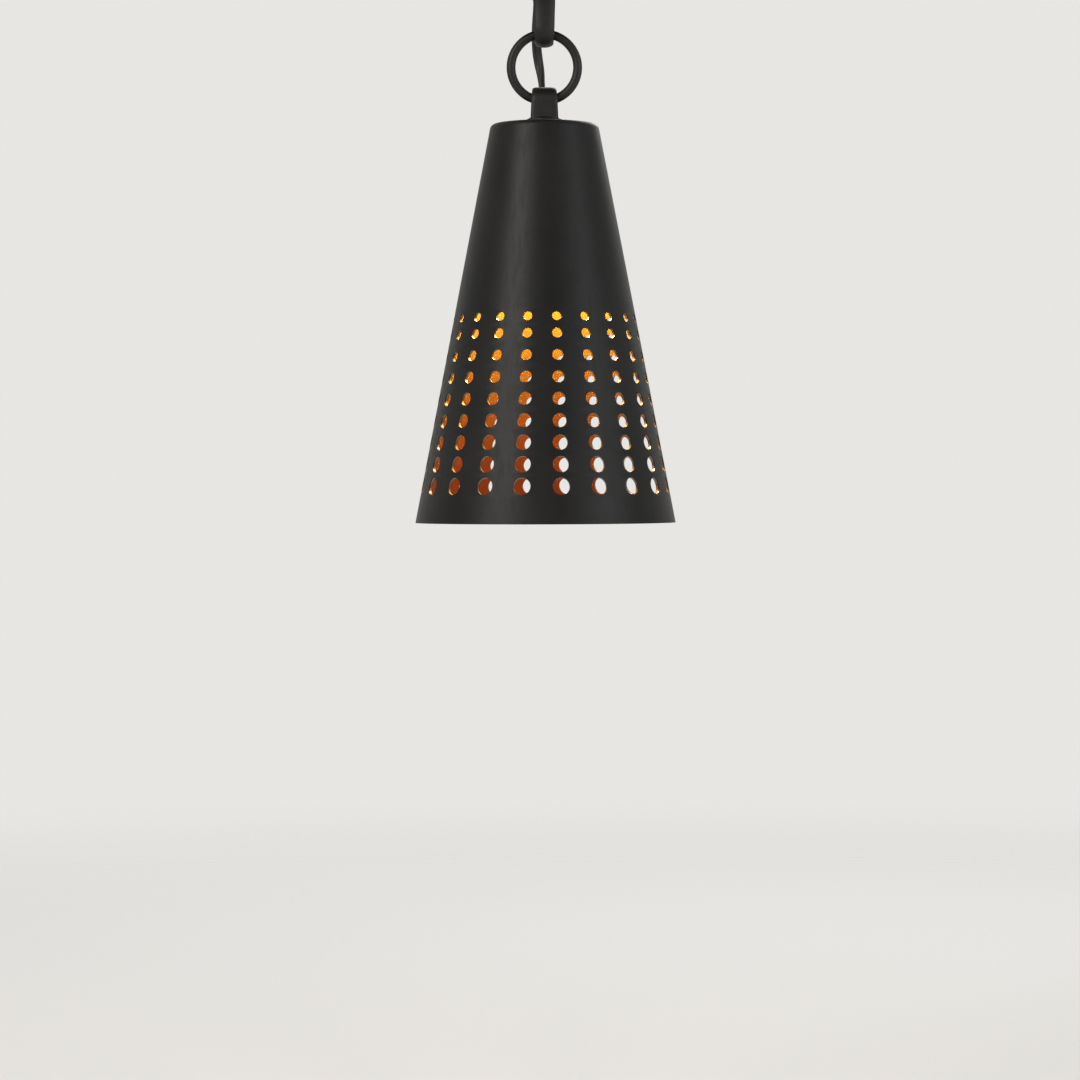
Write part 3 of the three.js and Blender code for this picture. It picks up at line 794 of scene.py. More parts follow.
    @classmethod
    def seal(cls) -> None:
        """Merge the doubles of the open piece, turn its faces outwards and shut it."""
        bpy.ops.mesh.select_all(action="SELECT")
        bpy.ops.mesh.remove_doubles(threshold=cls.DOUBLES)
        bpy.ops.mesh.dissolve_degenerate(threshold=cls.SPECK)
        bpy.ops.mesh.select_all(action="SELECT")
        bpy.ops.mesh.normals_make_consistent(inside=False)
        cls.shut()

    @classmethod
    def turned(cls, name: str, profile: Profile, steps: int = 64, closed: bool = True) -> Piece:
        """Draw a profile of (radius, height) pairs and turn it about the Z axis.

        Args:
            name: the piece's name.
            profile: the profile's points, in order.
            steps: how many steps make a whole turn.
            closed: whether the profile closes on itself.

        Returns:
            The piece.
        """
        points = [Vector((0.0, -radius, height)) for radius, height in profile]
        cls.clear()
        bpy.ops.mesh.primitive_plane_add(size=cls.SEED, location=points[0])
        piece = cls.named(name)
        cls.edit(piece)
        bpy.ops.mesh.merge(type="CENTER")
        for here, there in zip(points, points[1:]):
            cls.push(there - here)
        if closed:
            cls.pick(piece, lambda vertex: len(vertex.link_edges) == 1)
            bpy.ops.mesh.edge_face_add()
        bpy.ops.mesh.select_all(action="SELECT")
        bpy.ops.mesh.spin(steps=steps, angle=TURN, center=(0, 0, 0), axis=(0, 0, 1))
        cls.seal()
        return piece

    @classmethod
    def block(cls, name: str, low: Point, high: Point) -> Piece:
        """Make a block.

        Args:
            name: its name.
            low: its lowest corner.
            high: its highest corner.

        Returns:
            The block.
        """
        cls.clear()
        middle = [(a + b) / 2 for a, b in zip(low, high)]
        bpy.ops.mesh.primitive_cube_add(size=1.0, location=middle)
        bpy.context.object.scale = [b - a for a, b in zip(low, high)]
        return cls.named(name)

    @classmethod
    def peg(cls, name: str, radius: float, low: float, high: float, sides: int = 48) -> Piece:
        """Make an upright peg on the Z axis.

        Args:
            name: its name.
            radius: its radius.
            low: its lower end.
            high: its upper end.
            sides: how many sides make it round.

        Returns:
            The peg.
        """
        cls.clear()
        middle = (0, 0, (low + high) / 2)
        bpy.ops.mesh.primitive_cylinder_add(vertices=sides, radius=radius, depth=high - low, location=middle)
        return cls.named(name)

    @classmethod
    def cast(cls, piece: Piece, grain: float, passes: int) -> Piece:
        """Fuse overlapping bodies into one casting with soft inner corners.

        Args:
            piece: the joined bodies.
            grain: the size of the casting's facets.
            passes: how often its skin is smoothed.

        Returns:
            The piece.
        """
        cls.modify(piece, "REMESH", mode="VOXEL", voxel_size=grain)
        cls.modify(piece, "SMOOTH", factor=0.5, iterations=passes)
        cls.hold(piece)
        bpy.ops.object.shade_smooth()
        return piece

    @staticmethod
    def draw_in(piece: Piece, depth: Callable[[float, float, float], float]) -> Piece:
        """Draw points of a turned piece in towards its axis.

        Args:
            piece: the piece.
            depth: how far a point goes in, by its radius, its angle and its height.

        Returns:
            The piece.
        """
        for vertex in piece.data.vertices:
            radius = math.hypot(vertex.co.x, vertex.co.y)
            inwards = depth(radius, math.atan2(vertex.co.y, vertex.co.x), vertex.co.z)
            if inwards:
                vertex.co.x *= 1.0 - inwards / radius
                vertex.co.y *= 1.0 - inwards / radius
        return piece

    @classmethod
    def thread(cls, piece: Piece, pitch: float, depth: float, low: float, high: float, outer: float) -> Piece:
        """Press a screw thread into the outer wall of a turned piece.

        Args:
            piece: the piece, with close rows of points on that wall.
            pitch: the thread's rise in one turn.
            depth: its depth.
            low: where it starts.
            high: where it ends.
            outer: the radius of the wall.

        Returns:
            The piece.
        """

        def groove(radius: float, angle: float, level: float) -> float:
            """Return the thread's depth at a point of the wall."""
            if abs(radius - outer) > depth / 4 or not low <= level <= high:
                return 0.0
            wave = 0.5 - 0.5 * math.cos(TURN * (level / pitch - angle / TURN))
            return depth * wave * min(1.0, (level - low) / pitch, (high - level) / pitch)

        return cls.draw_in(piece, groove)

    @classmethod
    def fluted(cls, piece: Piece, count: int, depth: float, least: float, low: float, high: float) -> Piece:
        """Press upright grip flutes into the outer wall of a turned piece.

        Args:
            piece: the piece.
            count: how many flutes go round it.
            depth: how deep they are.
            least: the radius that the wall lies outside of.
            low: the wall's lower end.
            high: the wall's upper end.

        Returns:
            The piece.
        """

        def flute(radius: float, angle: float, level: float) -> float:
            """Return the flutes' depth at a point of the wall."""
            if radius < least or not low <= level <= high:
                return 0.0
            return depth * (0.5 - 0.5 * math.cos(count * angle)) ** 2

        return cls.draw_in(piece, flute)

    @classmethod
    def mark_edges(cls, piece: Piece) -> None:
        """Note at each point how far the surface turns there, as a share of a full outer edge.

        Args:
            piece: the finished piece.
        """
        mesh = bmesh.new()
        mesh.from_mesh(piece.data)
        marks = []
        for vertex in mesh.verts:
            angles = [edge.calc_face_angle_signed(0.0) for edge in vertex.link_edges if edge.is_manifold]
            marks.append(min(1.0, max(0.0, max(angles, default=0.0) / cls.FULL_EDGE)))
        mesh.free()
        layer = piece.data.attributes.new(cls.EDGE, "FLOAT", "POINT")
        layer.data.foreach_set("value", marks)


@dataclass
class SubAssembly:
    """Pieces that are built, dressed and handed to the frame together."""

    book: FinishBook

    def build(self) -> None:
        """Make every piece. Each sub-assembly has its own way."""
        raise NotImplementedError

    def place(self, piece: Piece, body: Optional[Body], slot: Slot, *nodes: str) -> Piece:
        """Dress a finished piece and hand it to its body.

        Args:
            piece: the piece.
            body: the body that it rides on, or None for a piece that is attached to none.
            slot: its finish.
            *nodes: the solids that it stands for.

        Returns:
            The piece.
        """
        Bench.mark_edges(piece)
        self.book.dress(piece, slot)
        if body is not None:
            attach(piece, body.value)
        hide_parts(*nodes)
        LOG.info("%s: %d faces", piece.name, len(piece.data.polygons))
        return piece

    def turn(
        self,
        name: str,
        profile: Profile,
        body: Body,
        slot: Slot,
        node: str,
        round_by: float = 0.0003,
        closed: bool = False,
        steps: int = 64,
    ) -> Piece:
        """Turn, round and place a plain round piece.

        Args:
            name: the piece's name.
            profile: its (radius, height) pairs.
            body: the body that it rides on.
            slot: its finish.
            node: the solid that it stands for.
            round_by: how far its edges are rounded.
            closed: whether the profile closes on itself.
            steps: how many steps make a whole turn.

        Returns:
            The piece.
        """
        piece = Bench.turned(name, profile, steps, closed)
        Bench.rounded(piece, round_by)
        Bench.smooth(piece)
        return self.place(piece, body, slot, node)

    def washer(
        self, name: str, node: str, bore: float, body: Body, slot: Slot, round_by: float = 0.0003
    ) -> Piece:
        """Make a flat ring as large as its solid.

        Args:
            name: the piece's name.
            node: the solid that it stands for.
            bore: the radius of its bore.
            body: the body that it rides on.
            slot: its finish.
            round_by: how far its edges are rounded.

        Returns:
            The ring.
        """
        solid = Solid.of(node)
        low, high = solid.bottom, solid.top
        profile = [(bore, low), (solid.radius, low), (solid.radius, high), (bore, high)]
        return self.turn(name, profile, body, slot, node, round_by, True)

    def nut(self, name: str, node: str, bore: float, body: Body) -> Piece:
        """Make a hexagon nut with chamfered corners, as large as its solid.

        Args:
            name: the piece's name.
            node: the solid that it stands for.
            bore: the radius of its bore.
            body: the body that it rides on.

        Returns:
            The nut.
        """
        solid = Solid.of(node)
        low, high, reach = solid.bottom, solid.top, solid.reach[1]
        corner = 2 * reach / math.sqrt(3)
        face, waist, chamfer = reach * 0.97, reach * 1.2, (corner - reach) * 0.93
        blank = [(bore, low), (face, low), (waist, low + chamfer)]
        blank += [(radius, low + high - level) for radius, level in reversed(blank)]
        piece = Bench.turned(name, blank, 74)
        hexagon = Bench.peg("hexagon", corner, low - Bench.PAST, high + Bench.PAST, 6)
        Bench.cut(piece, Bench.move(hexagon, turn=(0, 0, math.pi / 6)), "INTERSECT")
        Bench.rounded(piece, 0.0002, 2, 25.0)
        Bench.smooth(piece, 30.0)
        return self.place(piece, body, Slot.ZINC, node)


def wall_rows(radius: float, low: float, high: float, rows: int) -> Profile:
    """Return the rows of points up a plain wall.

    Args:
        radius: the wall's radius.
        low: its lower end.
        high: its upper end.
        rows: how many rows of faces it has.

    Returns:
        The (radius, height) pairs, from the lower end to the upper one.
    """
    return [(radius, low + (high - low) * k / rows) for k in range(rows + 1)]


def eased(share: float) -> float:
    """Return a share of a change that starts and ends softly."""
    return share * share * (3 - 2 * share)


def smooth_route(points: Sequence[Point], steps: int) -> list[Vector]:
    """Draw a smooth line through given points.

    Args:
        points: the points, in order.
        steps: how many even steps the line has.

    Returns:
        The points of the line, evenly spaced.
    """
    places = [Vector(p) for p in points]
    fine: list[Vector] = []
    for i in range(len(places) - 1):
        before = places[max(0, i - 1)]
        after = places[min(len(places) - 1, i + 2)]
        here, there = places[i], places[i + 1]
        knot = (here, here + (there - before) / 6, there - (after - here) / 6, there)
        fine += interpolate_bezier(*knot, 16)[: None if i == len(places) - 2 else -1]
    lengths = [0.0]
    for a, b in zip(fine, fine[1:]):
        lengths.append(lengths[-1] + (b - a).length)
    even, at = [], 0
    for k in range(steps + 1):
        goal = lengths[-1] * k / steps
        while at < len(fine) - 2 and lengths[at + 1] < goal:
            at += 1
        share = (goal - lengths[at]) / max(1e-12, lengths[at + 1] - lengths[at])
        even.append(fine[at].lerp(fine[at + 1], min(1.0, share)))
    return even


@dataclass
class TwinFlex:
    """A flat cord of two cores side by side, drawn along a line."""

    width: float = 0.005
    thickness: float = 0.0026
    sides: int = 32
    axis: Point = (1.0, 0.0, 0.0)
    groove: float = 0.45
    side_slope: float = 4.0

    def section(self, angle: float) -> Pair:
        """Find a point of the outline, two lobes with a groove between them.

        Args:
            angle: the point's angle.

        Returns:
            Its places along the broad side and along the thin one.
        """
        across, rise = self.width / 2 * math.cos(angle), math.sin(angle)
        lobe = self.thickness / 2
        offset = abs(across) - (self.width / 2 - lobe)
        height = max(math.sqrt(max(0.0, lobe**2 - offset**2)), lobe * self.groove)
        return across, math.copysign(height, rise) * min(1.0, abs(rise) * self.side_slope)

    def tube(
        self, name: str, line: Sequence[Vector], twist: Optional[Callable[[float], float]] = None
    ) -> Piece:
        """Draw the cord along a line.

        Args:
            name: the piece's name.
            line: the points of its middle.
            twist: the angle of its broad side from the axis, by the share of the line, or None for 0.

        Returns:
            The piece.
        """
        mesh = bmesh.new()
        rings = []
        for k, middle in enumerate(line):
            ahead = (line[min(k + 1, len(line) - 1)] - line[max(k - 1, 0)]).normalized()
            side = Vector(self.axis)
            side = (side - ahead * ahead.dot(side)).normalized()
            angle = twist(k / (len(line) - 1)) if twist else 0.0
            broad = side * math.cos(angle) + ahead.cross(side) * math.sin(angle)
            thin = ahead.cross(broad)
            ring = []
            for s in range(self.sides):
                across, over = self.section(TURN * (s + 0.5) / self.sides)
                ring.append(mesh.verts.new(middle + broad * across + thin * over))
            rings.append(ring)
        for first, second in zip(rings, rings[1:]):
            for s in range(self.sides):
                t = (s + 1) % self.sides
                mesh.faces.new((first[s], first[t], second[t], second[s]))
        mesh.faces.new(rings[0][::-1])
        mesh.faces.new(rings[-1])
        bmesh.ops.remove_doubles(mesh, verts=mesh.verts[:], dist=Bench.DOUBLES)
        bmesh.ops.recalc_face_normals(mesh, faces=mesh.faces)
        data = bpy.data.meshes.new(name)
        mesh.to_mesh(data)
        mesh.free()
        piece = bpy.data.objects.new(name, data)
        bpy.context.scene.collection.objects.link(piece)
        return Bench.smooth(piece, 50.0)


@dataclass(frozen=True)
class Softbox:
    """A square soft light that faces the lamp: its place, the length of its side, and its power in watts."""

    name: str
    place: Point
    size: float
    power: float
    colour: Colour
    target: Point = (0.0, 0.0, -0.17)

    def hang(self) -> None:
        """Hang the light."""
        data = bpy.data.lights.new(self.name, "AREA")
        data.size = self.size
        data.energy = self.power
        data.color = self.colour
        light = bpy.data.objects.new(self.name, data)
        light.location = self.place
        aim = Vector(self.target) - Vector(self.place)
        light.rotation_euler = aim.to_track_quat("-Z", "Y").to_euler()
        bpy.context.scene.collection.objects.link(light)


@dataclass
class Studio:
    """The camera, a plain floor and soft light."""

    distance: float = 1.70
    eye_level: float = -0.2690
    aside: float = -0.0027
    lens: float = 113.05
    sensor: float = 36.0
    pitch: float = math.radians(1.11)
    roll: float = math.radians(0.15)
    floor_level: float = -0.64
    floor_radius: float = 2.4
    floor_fade: Point = (0.5, 2.2)
    paper: Colour = (0.80, 0.79, 0.77)
    fibre: Colour = (0.76, 0.75, 0.73)
    fill: Colour = (1.0, 0.99, 0.97)
    fill_strength: float = 0.55
    softboxes: tuple[Softbox, ...] = (
        Softbox("key_light", (-1.1, -1.2, 0.55), 0.9, 14.0, (1.0, 0.98, 0.95)),
        Softbox("fill_light", (1.3, -0.9, 0.10), 1.0, 7.0, (0.97, 0.98, 1.0)),
        Softbox("back_light", (0.4, 1.3, 0.60), 0.8, 9.0, (1.0, 1.0, 1.0)),
    )

    def camera(self) -> None:
        """Set the camera where the photograph was taken from."""
        data = bpy.data.cameras.new("camera")
        data.lens = self.lens
        data.sensor_width = self.sensor
        data.clip_end = 50.0
        camera = bpy.data.objects.new("camera", data)
        camera.location = (self.aside, -self.distance, self.eye_level)
        camera.rotation_euler = (math.pi / 2 - self.pitch, self.roll, 0.0)
        bpy.context.scene.collection.objects.link(camera)
        bpy.context.scene.camera = camera
        bpy.context.scene.view_settings.view_transform = "Standard"

    def lights(self) -> None:
        """Light the room: a pale world and the soft boxes."""
        world = bpy.data.worlds.new("room")
        bpy.context.scene.world = world
        graph = Graph(world)
        passing = graph.value("ShaderNodeLightPath", "Is Transmission Ray")
        seen = graph.value("ShaderNodeLightPath", "Is Camera Ray").most(passing)
        mixed = {0: seen}
        for place, colour, strength in ((1, self.fill, self.fill_strength), (2, self.paper, 1.0)):
            inputs = {"Color": (*colour, 1.0), "Strength": strength}
            mixed[place] = graph.add("ShaderNodeBackground", None, inputs).outputs[0]
        room = graph.add("ShaderNodeMixShader", None, mixed)
        graph.add("ShaderNodeOutputWorld", None, {"Surface": room.outputs[0]})
        for softbox in self.softboxes:
            softbox.hang()

    def floor(self) -> None:
        """Lay a round paper floor that fades into the room."""
        Bench.clear()
        bpy.ops.mesh.primitive_circle_add(vertices=96, radius=self.floor_radius, fill_type="NGON")
        floor = Bench.move(Bench.named("floor"), (0, 0, self.floor_level))
        graph = Graph(bpy.data.materials.new("paper"))
        across, along, _ = graph.axes()
        reach = (across**2.0 + along**2.0) ** 0.5
        tone = graph.mix(graph.noise(900.0, 3.0) * 0.25, self.paper, self.fibre)
        paper = graph.add("ShaderNodeBsdfDiffuse", None, {"Color": tone, "Roughness": 0.6})
        clear = graph.add("ShaderNodeBsdfTransparent")
        gone = reach.step(*self.floor_fade).most(graph.value("ShaderNodeNewGeometry", "Backfacing"))
        mixed = graph.add("ShaderNodeMixShader", None, {0: gone, 1: paper.outputs[0], 2: clear.outputs[0]})
        graph.add("ShaderNodeOutputMaterial", None, {"Surface": mixed.outputs[0]})
        floor.data.materials.append(graph.owner)


@dataclass
class PendantCord(SubAssembly):
    """The flat cord behind the ring, from the canopy's gland to the shade's gland, in two stretches."""

    flex: TwinFlex = field(default_factory=TwinFlex)
    into_gland: float = 0.0026
    route: tuple[Point, ...] = (
        (-0.0035, 0.0189, -0.0313),
        (-0.0036, 0.0192, -0.0346),
        (-0.0038, 0.0216, -0.0402),
        (-0.0039, 0.0258, -0.0476),
        (-0.0036, 0.0298, -0.0542),
        (-0.0027, 0.0311, -0.0603),
        (-0.0017, 0.0292, -0.0664),
        (-0.0012, 0.0247, -0.0728),
        (-0.0011, 0.0196, -0.0798),
        (-0.0010, 0.0172, -0.0854),
        (-0.0010, 0.01691, -0.0887),
    )
    steps: int = 96
    twists: tuple[Point, ...] = ((0.0, 55.0), (0.30, 18.0), (0.40, 18.0), (0.70, 75.0), (1.0, 75.0))

    def twist(self, share: float) -> float:
        """Return how far the broad side is turned at a share of the whole cord."""
        for (start, first), (end, last) in zip(self.twists, self.twists[1:]):
            if share <= end:
                return math.radians(first + (last - first) * eased((share - start) / (end - start)))
        return math.radians(self.twists[-1][1])

    def build(self) -> None:
        """Draw both stretches."""
        line = smooth_route(self.route, self.steps)
        half = self.steps // 2
        tip = Vector((0.0, 0.0, self.into_gland))
        upper = [line[0] + tip, *line[: half + 1]]
        lower = [*line[half:], line[-1] - tip]
        stretches = (
            ("cord_top_run", upper, "cord_upper", Body.CEILING, Body.RING, 0.0),
            ("cord_foot_run", lower, "cord_lower", Body.RING, Body.SHADE, 0.5),
        )
        for name, points, node, first, second, start in stretches:
            piece = self.flex.tube(name, points, lambda share: self.twist(start + share / 2))
            self.place(piece, None, Slot.CORD, node)
            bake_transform(piece)
            sum((b - a).length for a, b in zip(points, points[1:]))


@dataclass(frozen=True)
class Screw:
    """A slotted screw. Its dome and its slot are shares of its head."""

    head: float
    tall: float
    shank: float
    tail: float
    seat: float = 0.0003
    dome: tuple[Pair, ...] = ((1.0, 0.5), (0.82, 0.82), (0.5, 0.96), (0.0, 1.0))
    slot_width: float = 0.28
    slot_floor: float = 0.55
    edge: float = 0.05

    def turned(self, name: str) -> Piece:
        """Turn the screw so that it stands on the origin, head up.

        Args:
            name: the piece's name.

        Returns:
            The screw.
        """
        head, tall, shank, tail = self.head, self.tall, self.shank, self.tail
        profile = [(0.0, -tail), (shank, -tail), (shank, self.seat), (head, self.seat)]
        profile += [(head * across, tall * up) for across, up in self.dome]
        piece = Bench.turned(name, profile, 40, False)
        reach, half, floor = head * 1.1, head * self.slot_width / 2, tall * self.slot_floor
        Bench.cut(piece, Bench.block("driver", (-reach, -half, floor), (reach, half, tall * 1.2)))
        Bench.rounded(piece, head * self.edge, 2, 40.0)
        return Bench.smooth(piece, 40.0)


@dataclass
class CeilingFitting(SubAssembly):
    """The canopy, its plate and screws, and the wiring inside it."""

    wall: float = 0.0015
    flat_radius: float = 0.027
    side_height: float = 0.013
    bore: float = 0.0053
    gland_hole: float = 0.0045
    cup_edge: float = 0.0004
    plate_thickness: float = 0.002
    plate_edge: float = 0.00025
    ear_width: float = 0.014
    ear_overlap: float = 0.001
    slot_width: float = 0.005
    slot_length: float = 0.013
    slot_spacing: float = 0.050
    play: float = 0.0003
    side_screw: Screw = Screw(0.004, 0.0024, 0.002, 0.0066)
    side_screw_turn: float = 0.6
    wire_screw: Screw = Screw(0.0019, 0.0012, 0.00133, 0.0016)
    wire_screw_turn: float = 0.5
    sunk: float = 0.0013
    fixing: Screw = Screw(0.0027, 0.002, 0.0015, 0.011)
    fixing_turn: float = 0.9
    block_edge: float = 0.00045
    well_depth: float = 0.003
    waist_width: float = 0.0044
    waist_height: float = 0.0032
    entry_radius: float = 0.0017
    entry_rise: float = 0.001

    def build(self) -> None:
        """Make every piece of the fitting."""
        self.canopy()
        self.plate()
        self.side_screws()
        self.washer("stud_washer", "loop_washer", self.bore, Body.CEILING, Slot.ZINC)
        self.nut("stud_nut", "loop_nut", self.bore, Body.CEILING)
        self.terminals()

    def cross_drill(self, piece: Piece, reach: float) -> None:
        """Drill a piece from side to side for the side screws.

        Args:
            piece: the piece.
            reach: how far the drill reaches from the axis.
        """
        drill = Bench.peg("screw_drill", self.side_screw.shank + self.play, -reach, reach)
        Bench.drill(piece, drill, (0, 0, Solid.of("canopy_screw_left").middle.z), (0, math.pi / 2, 0))

    def canopy(self) -> None:
        """Spin the canopy, a shallow cup with a round shoulder, and drill it."""
        solid = Solid.of("canopy")
        radius, face, floor = solid.radius, solid.bottom, solid.bottom + self.wall
        bend, flare = -face - self.side_height, radius - self.flat_radius
        outer, inner = [], []
        bends = 14
        for k in range(bends + 1):
            angle = math.pi / 2 * k / bends
            across, rise = math.sin(angle), 1 - math.cos(angle)
            outer.append((self.flat_radius + flare * across, face + bend * rise))
            inner.append((self.flat_radius + (flare - self.wall) * across, floor + (bend - self.wall) * rise))
        profile = [(self.bore, face), *outer, (radius, 0.0), (radius - self.wall, 0.0)]
        cup = Bench.turned("canopy_cup", [*profile, *reversed(inner), (self.bore, floor)], 96)
        drill = Bench.peg("gland_drill", self.gland_hole, face - Bench.PAST, floor + Bench.PAST)
        Bench.drill(cup, drill, (*PendantCord.route[0][:2], 0.0))
        self.cross_drill(cup, radius * 1.2)
        Bench.rounded(cup, self.cup_edge, 3, 50.0)
        Bench.smooth(cup, 35.0)
        self.place(cup, Body.CEILING, Slot.COAT, "canopy")

    def plate(self) -> None:
        """Cut the mounting strip with its round ends, slots and turned-down ears."""
        solid = Solid.of("mounting_plate")
        reach, half_width = solid.reach
        plate = Bench.peg("ceiling_plate", reach, -self.plate_thickness, 0.0, 128)
        Bench.edit(plate)
        for _, side in SIDES:
            bpy.ops.mesh.select_all(action="SELECT")
            plane = {"plane_co": (0, side * half_width, 0), "plane_no": (0, side, 0)}
            bpy.ops.mesh.bisect(**plane, clear_outer=True, use_fill=True)
        Bench.shut()
        half = self.ear_width / 2
        ear = math.sqrt(reach**2 - half**2)
        for name, side in SIDES:
            near, far = sorted((side * ear, side * (ear - self.plate_thickness)))
            tool = Bench.block(f"ear_{name}", (near, -half, solid.bottom), (far, half, -self.ear_overlap))
            Bench.cut(plate, tool, "UNION")
        for _, side in SIDES:
            slot = Bench.peg("slot_end", self.slot_width / 2, -4 * Bench.PAST, 2 * Bench.PAST, 32)
            run = (self.slot_length - self.slot_width) / 2
            Bench.edit(slot)
            Bench.pick(slot, lambda vertex: vertex.co.x > Bench.TOUCH)
            bpy.ops.transform.translate(value=(run, 0, 0))
            bpy.ops.mesh.select_all(action="INVERT")
            bpy.ops.transform.translate(value=(-run, 0, 0))
            Bench.shut()
            Bench.drill(plate, slot, (side * self.slot_spacing / 2, 0, 0))
        self.cross_drill(plate, Solid.of("canopy").radius)
        Bench.rounded(plate, self.plate_edge, 2, 40.0)
        Bench.smooth(plate, 35.0)
        self.place(plate, Body.CEILING, Slot.ZINC, "mounting_plate")

    def side_screws(self) -> None:
        """Drive the two screws that hold the canopy to the plate's ears."""
        model = self.side_screw.turned("screw_model")
        for name, side in SIDES:
            level = Solid.of(f"canopy_screw_{name}").middle.z
            piece = Bench.copy(model, f"side_screw_{name}")
            Bench.move(piece, turn=(0, 0, side * self.side_screw_turn))
            Bench.move(piece, (side * Solid.of("canopy").radius, 0, level), (0, side * math.pi / 2, 0))
            self.place(piece, Body.CEILING, Slot.CAST, f"canopy_screw_{name}")
        bpy.data.objects.remove(model)

    def terminals(self) -> None:
        """Mould the terminal block and set its screws."""
        solid = Solid.of("terminal_block")
        low, middle, deep = solid.bottom, solid.middle, 2 * solid.reach[1]
        places = {number: Solid.of(f"terminal_screw_{number}").middle for number in range(1, 5)}
        block = Bench.block("wire_block", solid.low, solid.high)
        half = self.waist_width / 2
        near = (-half, solid.low[1] - Bench.PAST, low - Bench.PAST)
        far = (half, solid.high[1] + Bench.PAST, low + self.waist_height)
        Bench.cut(block, Bench.block("waist", near, far))
        for pole in ((1, 2), (3, 4)):
            for number in pole:
                bore = self.wire_screw.head + self.play
                well = Bench.peg("well", bore, low - Bench.PAST, low + self.well_depth, 24)
                Bench.drill(block, well, (places[number].x, places[number].y, 0))
            entry = Bench.peg("wire_entry", self.entry_radius, -deep, deep, 24)
            centre = (places[pole[0]].x, middle.y, middle.z + self.entry_rise)
            Bench.drill(block, entry, centre, (math.pi / 2, 0, 0))
        Bench.rounded(block, self.block_edge, 3, 40.0)
        Bench.smooth(block, 35.0)
        self.place(block, Body.CEILING, Slot.PLASTIC, "terminal_block")
        model = self.wire_screw.turned("screw_model")
        for number, place in places.items():
            piece = Bench.copy(model, f"wire_screw_{number}")
            turn = (math.pi, 0, self.wire_screw_turn * number)
            Bench.move(piece, (place.x, place.y, low + self.sunk), turn)
            self.place(piece, Body.CEILING, Slot.BRASS, f"terminal_screw_{number}")
        bpy.data.objects.remove(model)
        fixing = self.fixing.turned("block_fixing")
        Bench.move(fixing, (0, middle.y, low), (math.pi, 0, self.fixing_turn))
        self.place(fixing, Body.CEILING, Slot.ZINC, "block_screw")


@dataclass(frozen=True)
class BentBar:
    """A bar that is bent to a U in the YZ plane. A corner under 1 squares the outer side of its section."""

    bar: float
    foot_width: float
    crown_width: float
    span: float
    corner: float = 1.0
    steps: int = 28
    leg_steps: int = 4

    def bent(self, name: str, crown: float, feet: float) -> Piece:
        """Bend the bar.

        Args:
            name: the piece's name.
            crown: the height of the crown's outer face.
            feet: the height of its feet.

        Returns:
            The bar, closed at its feet.
        """
        rise = 1.0 if crown > feet else -1.0
        centre = crown - rise * (self.bar / 2 + self.span)
        Bench.clear()
        bpy.ops.mesh.primitive_circle_add(vertices=self.steps, radius=0.5, location=(0, -self.span, feet))
        bpy.context.object.scale = (self.foot_width, self.bar, 1.0)
        piece = Bench.named(name)
        for vertex in piece.data.vertices:
            across, out = 2 * vertex.co.x / self.foot_width, -2 * (vertex.co.y + self.span) / self.bar
            if out > 0:
                vertex.co.x = self.foot_width / 2 * math.copysign(abs(across) ** self.corner, across)
                vertex.co.y = -self.span - self.bar / 2 * out**self.corner
        Bench.edit(piece)
        leg = Vector((0.0, 0.0, (centre - feet) / self.leg_steps))
        for _ in range(self.leg_steps):
            Bench.push(leg)
        bpy.ops.mesh.spin(steps=self.steps, angle=rise * math.pi, center=(0, 0, centre), axis=(1, 0, 0))
        for _ in range(self.leg_steps):
            Bench.push(-leg)
        bpy.ops.mesh.select_all(action="SELECT")
        bpy.ops.mesh.fill_holes(sides=0)
        Bench.seal()
        for vertex in piece.data.vertices:
            past = rise * (vertex.co.z - centre)
            lean = past / math.hypot(vertex.co.y, past) if past > 0 else past / abs(centre - feet)
            vertex.co.x *= 1.0 + (self.crown_width / self.foot_width - 1.0) * (1.0 + lean) / 2
        return piece


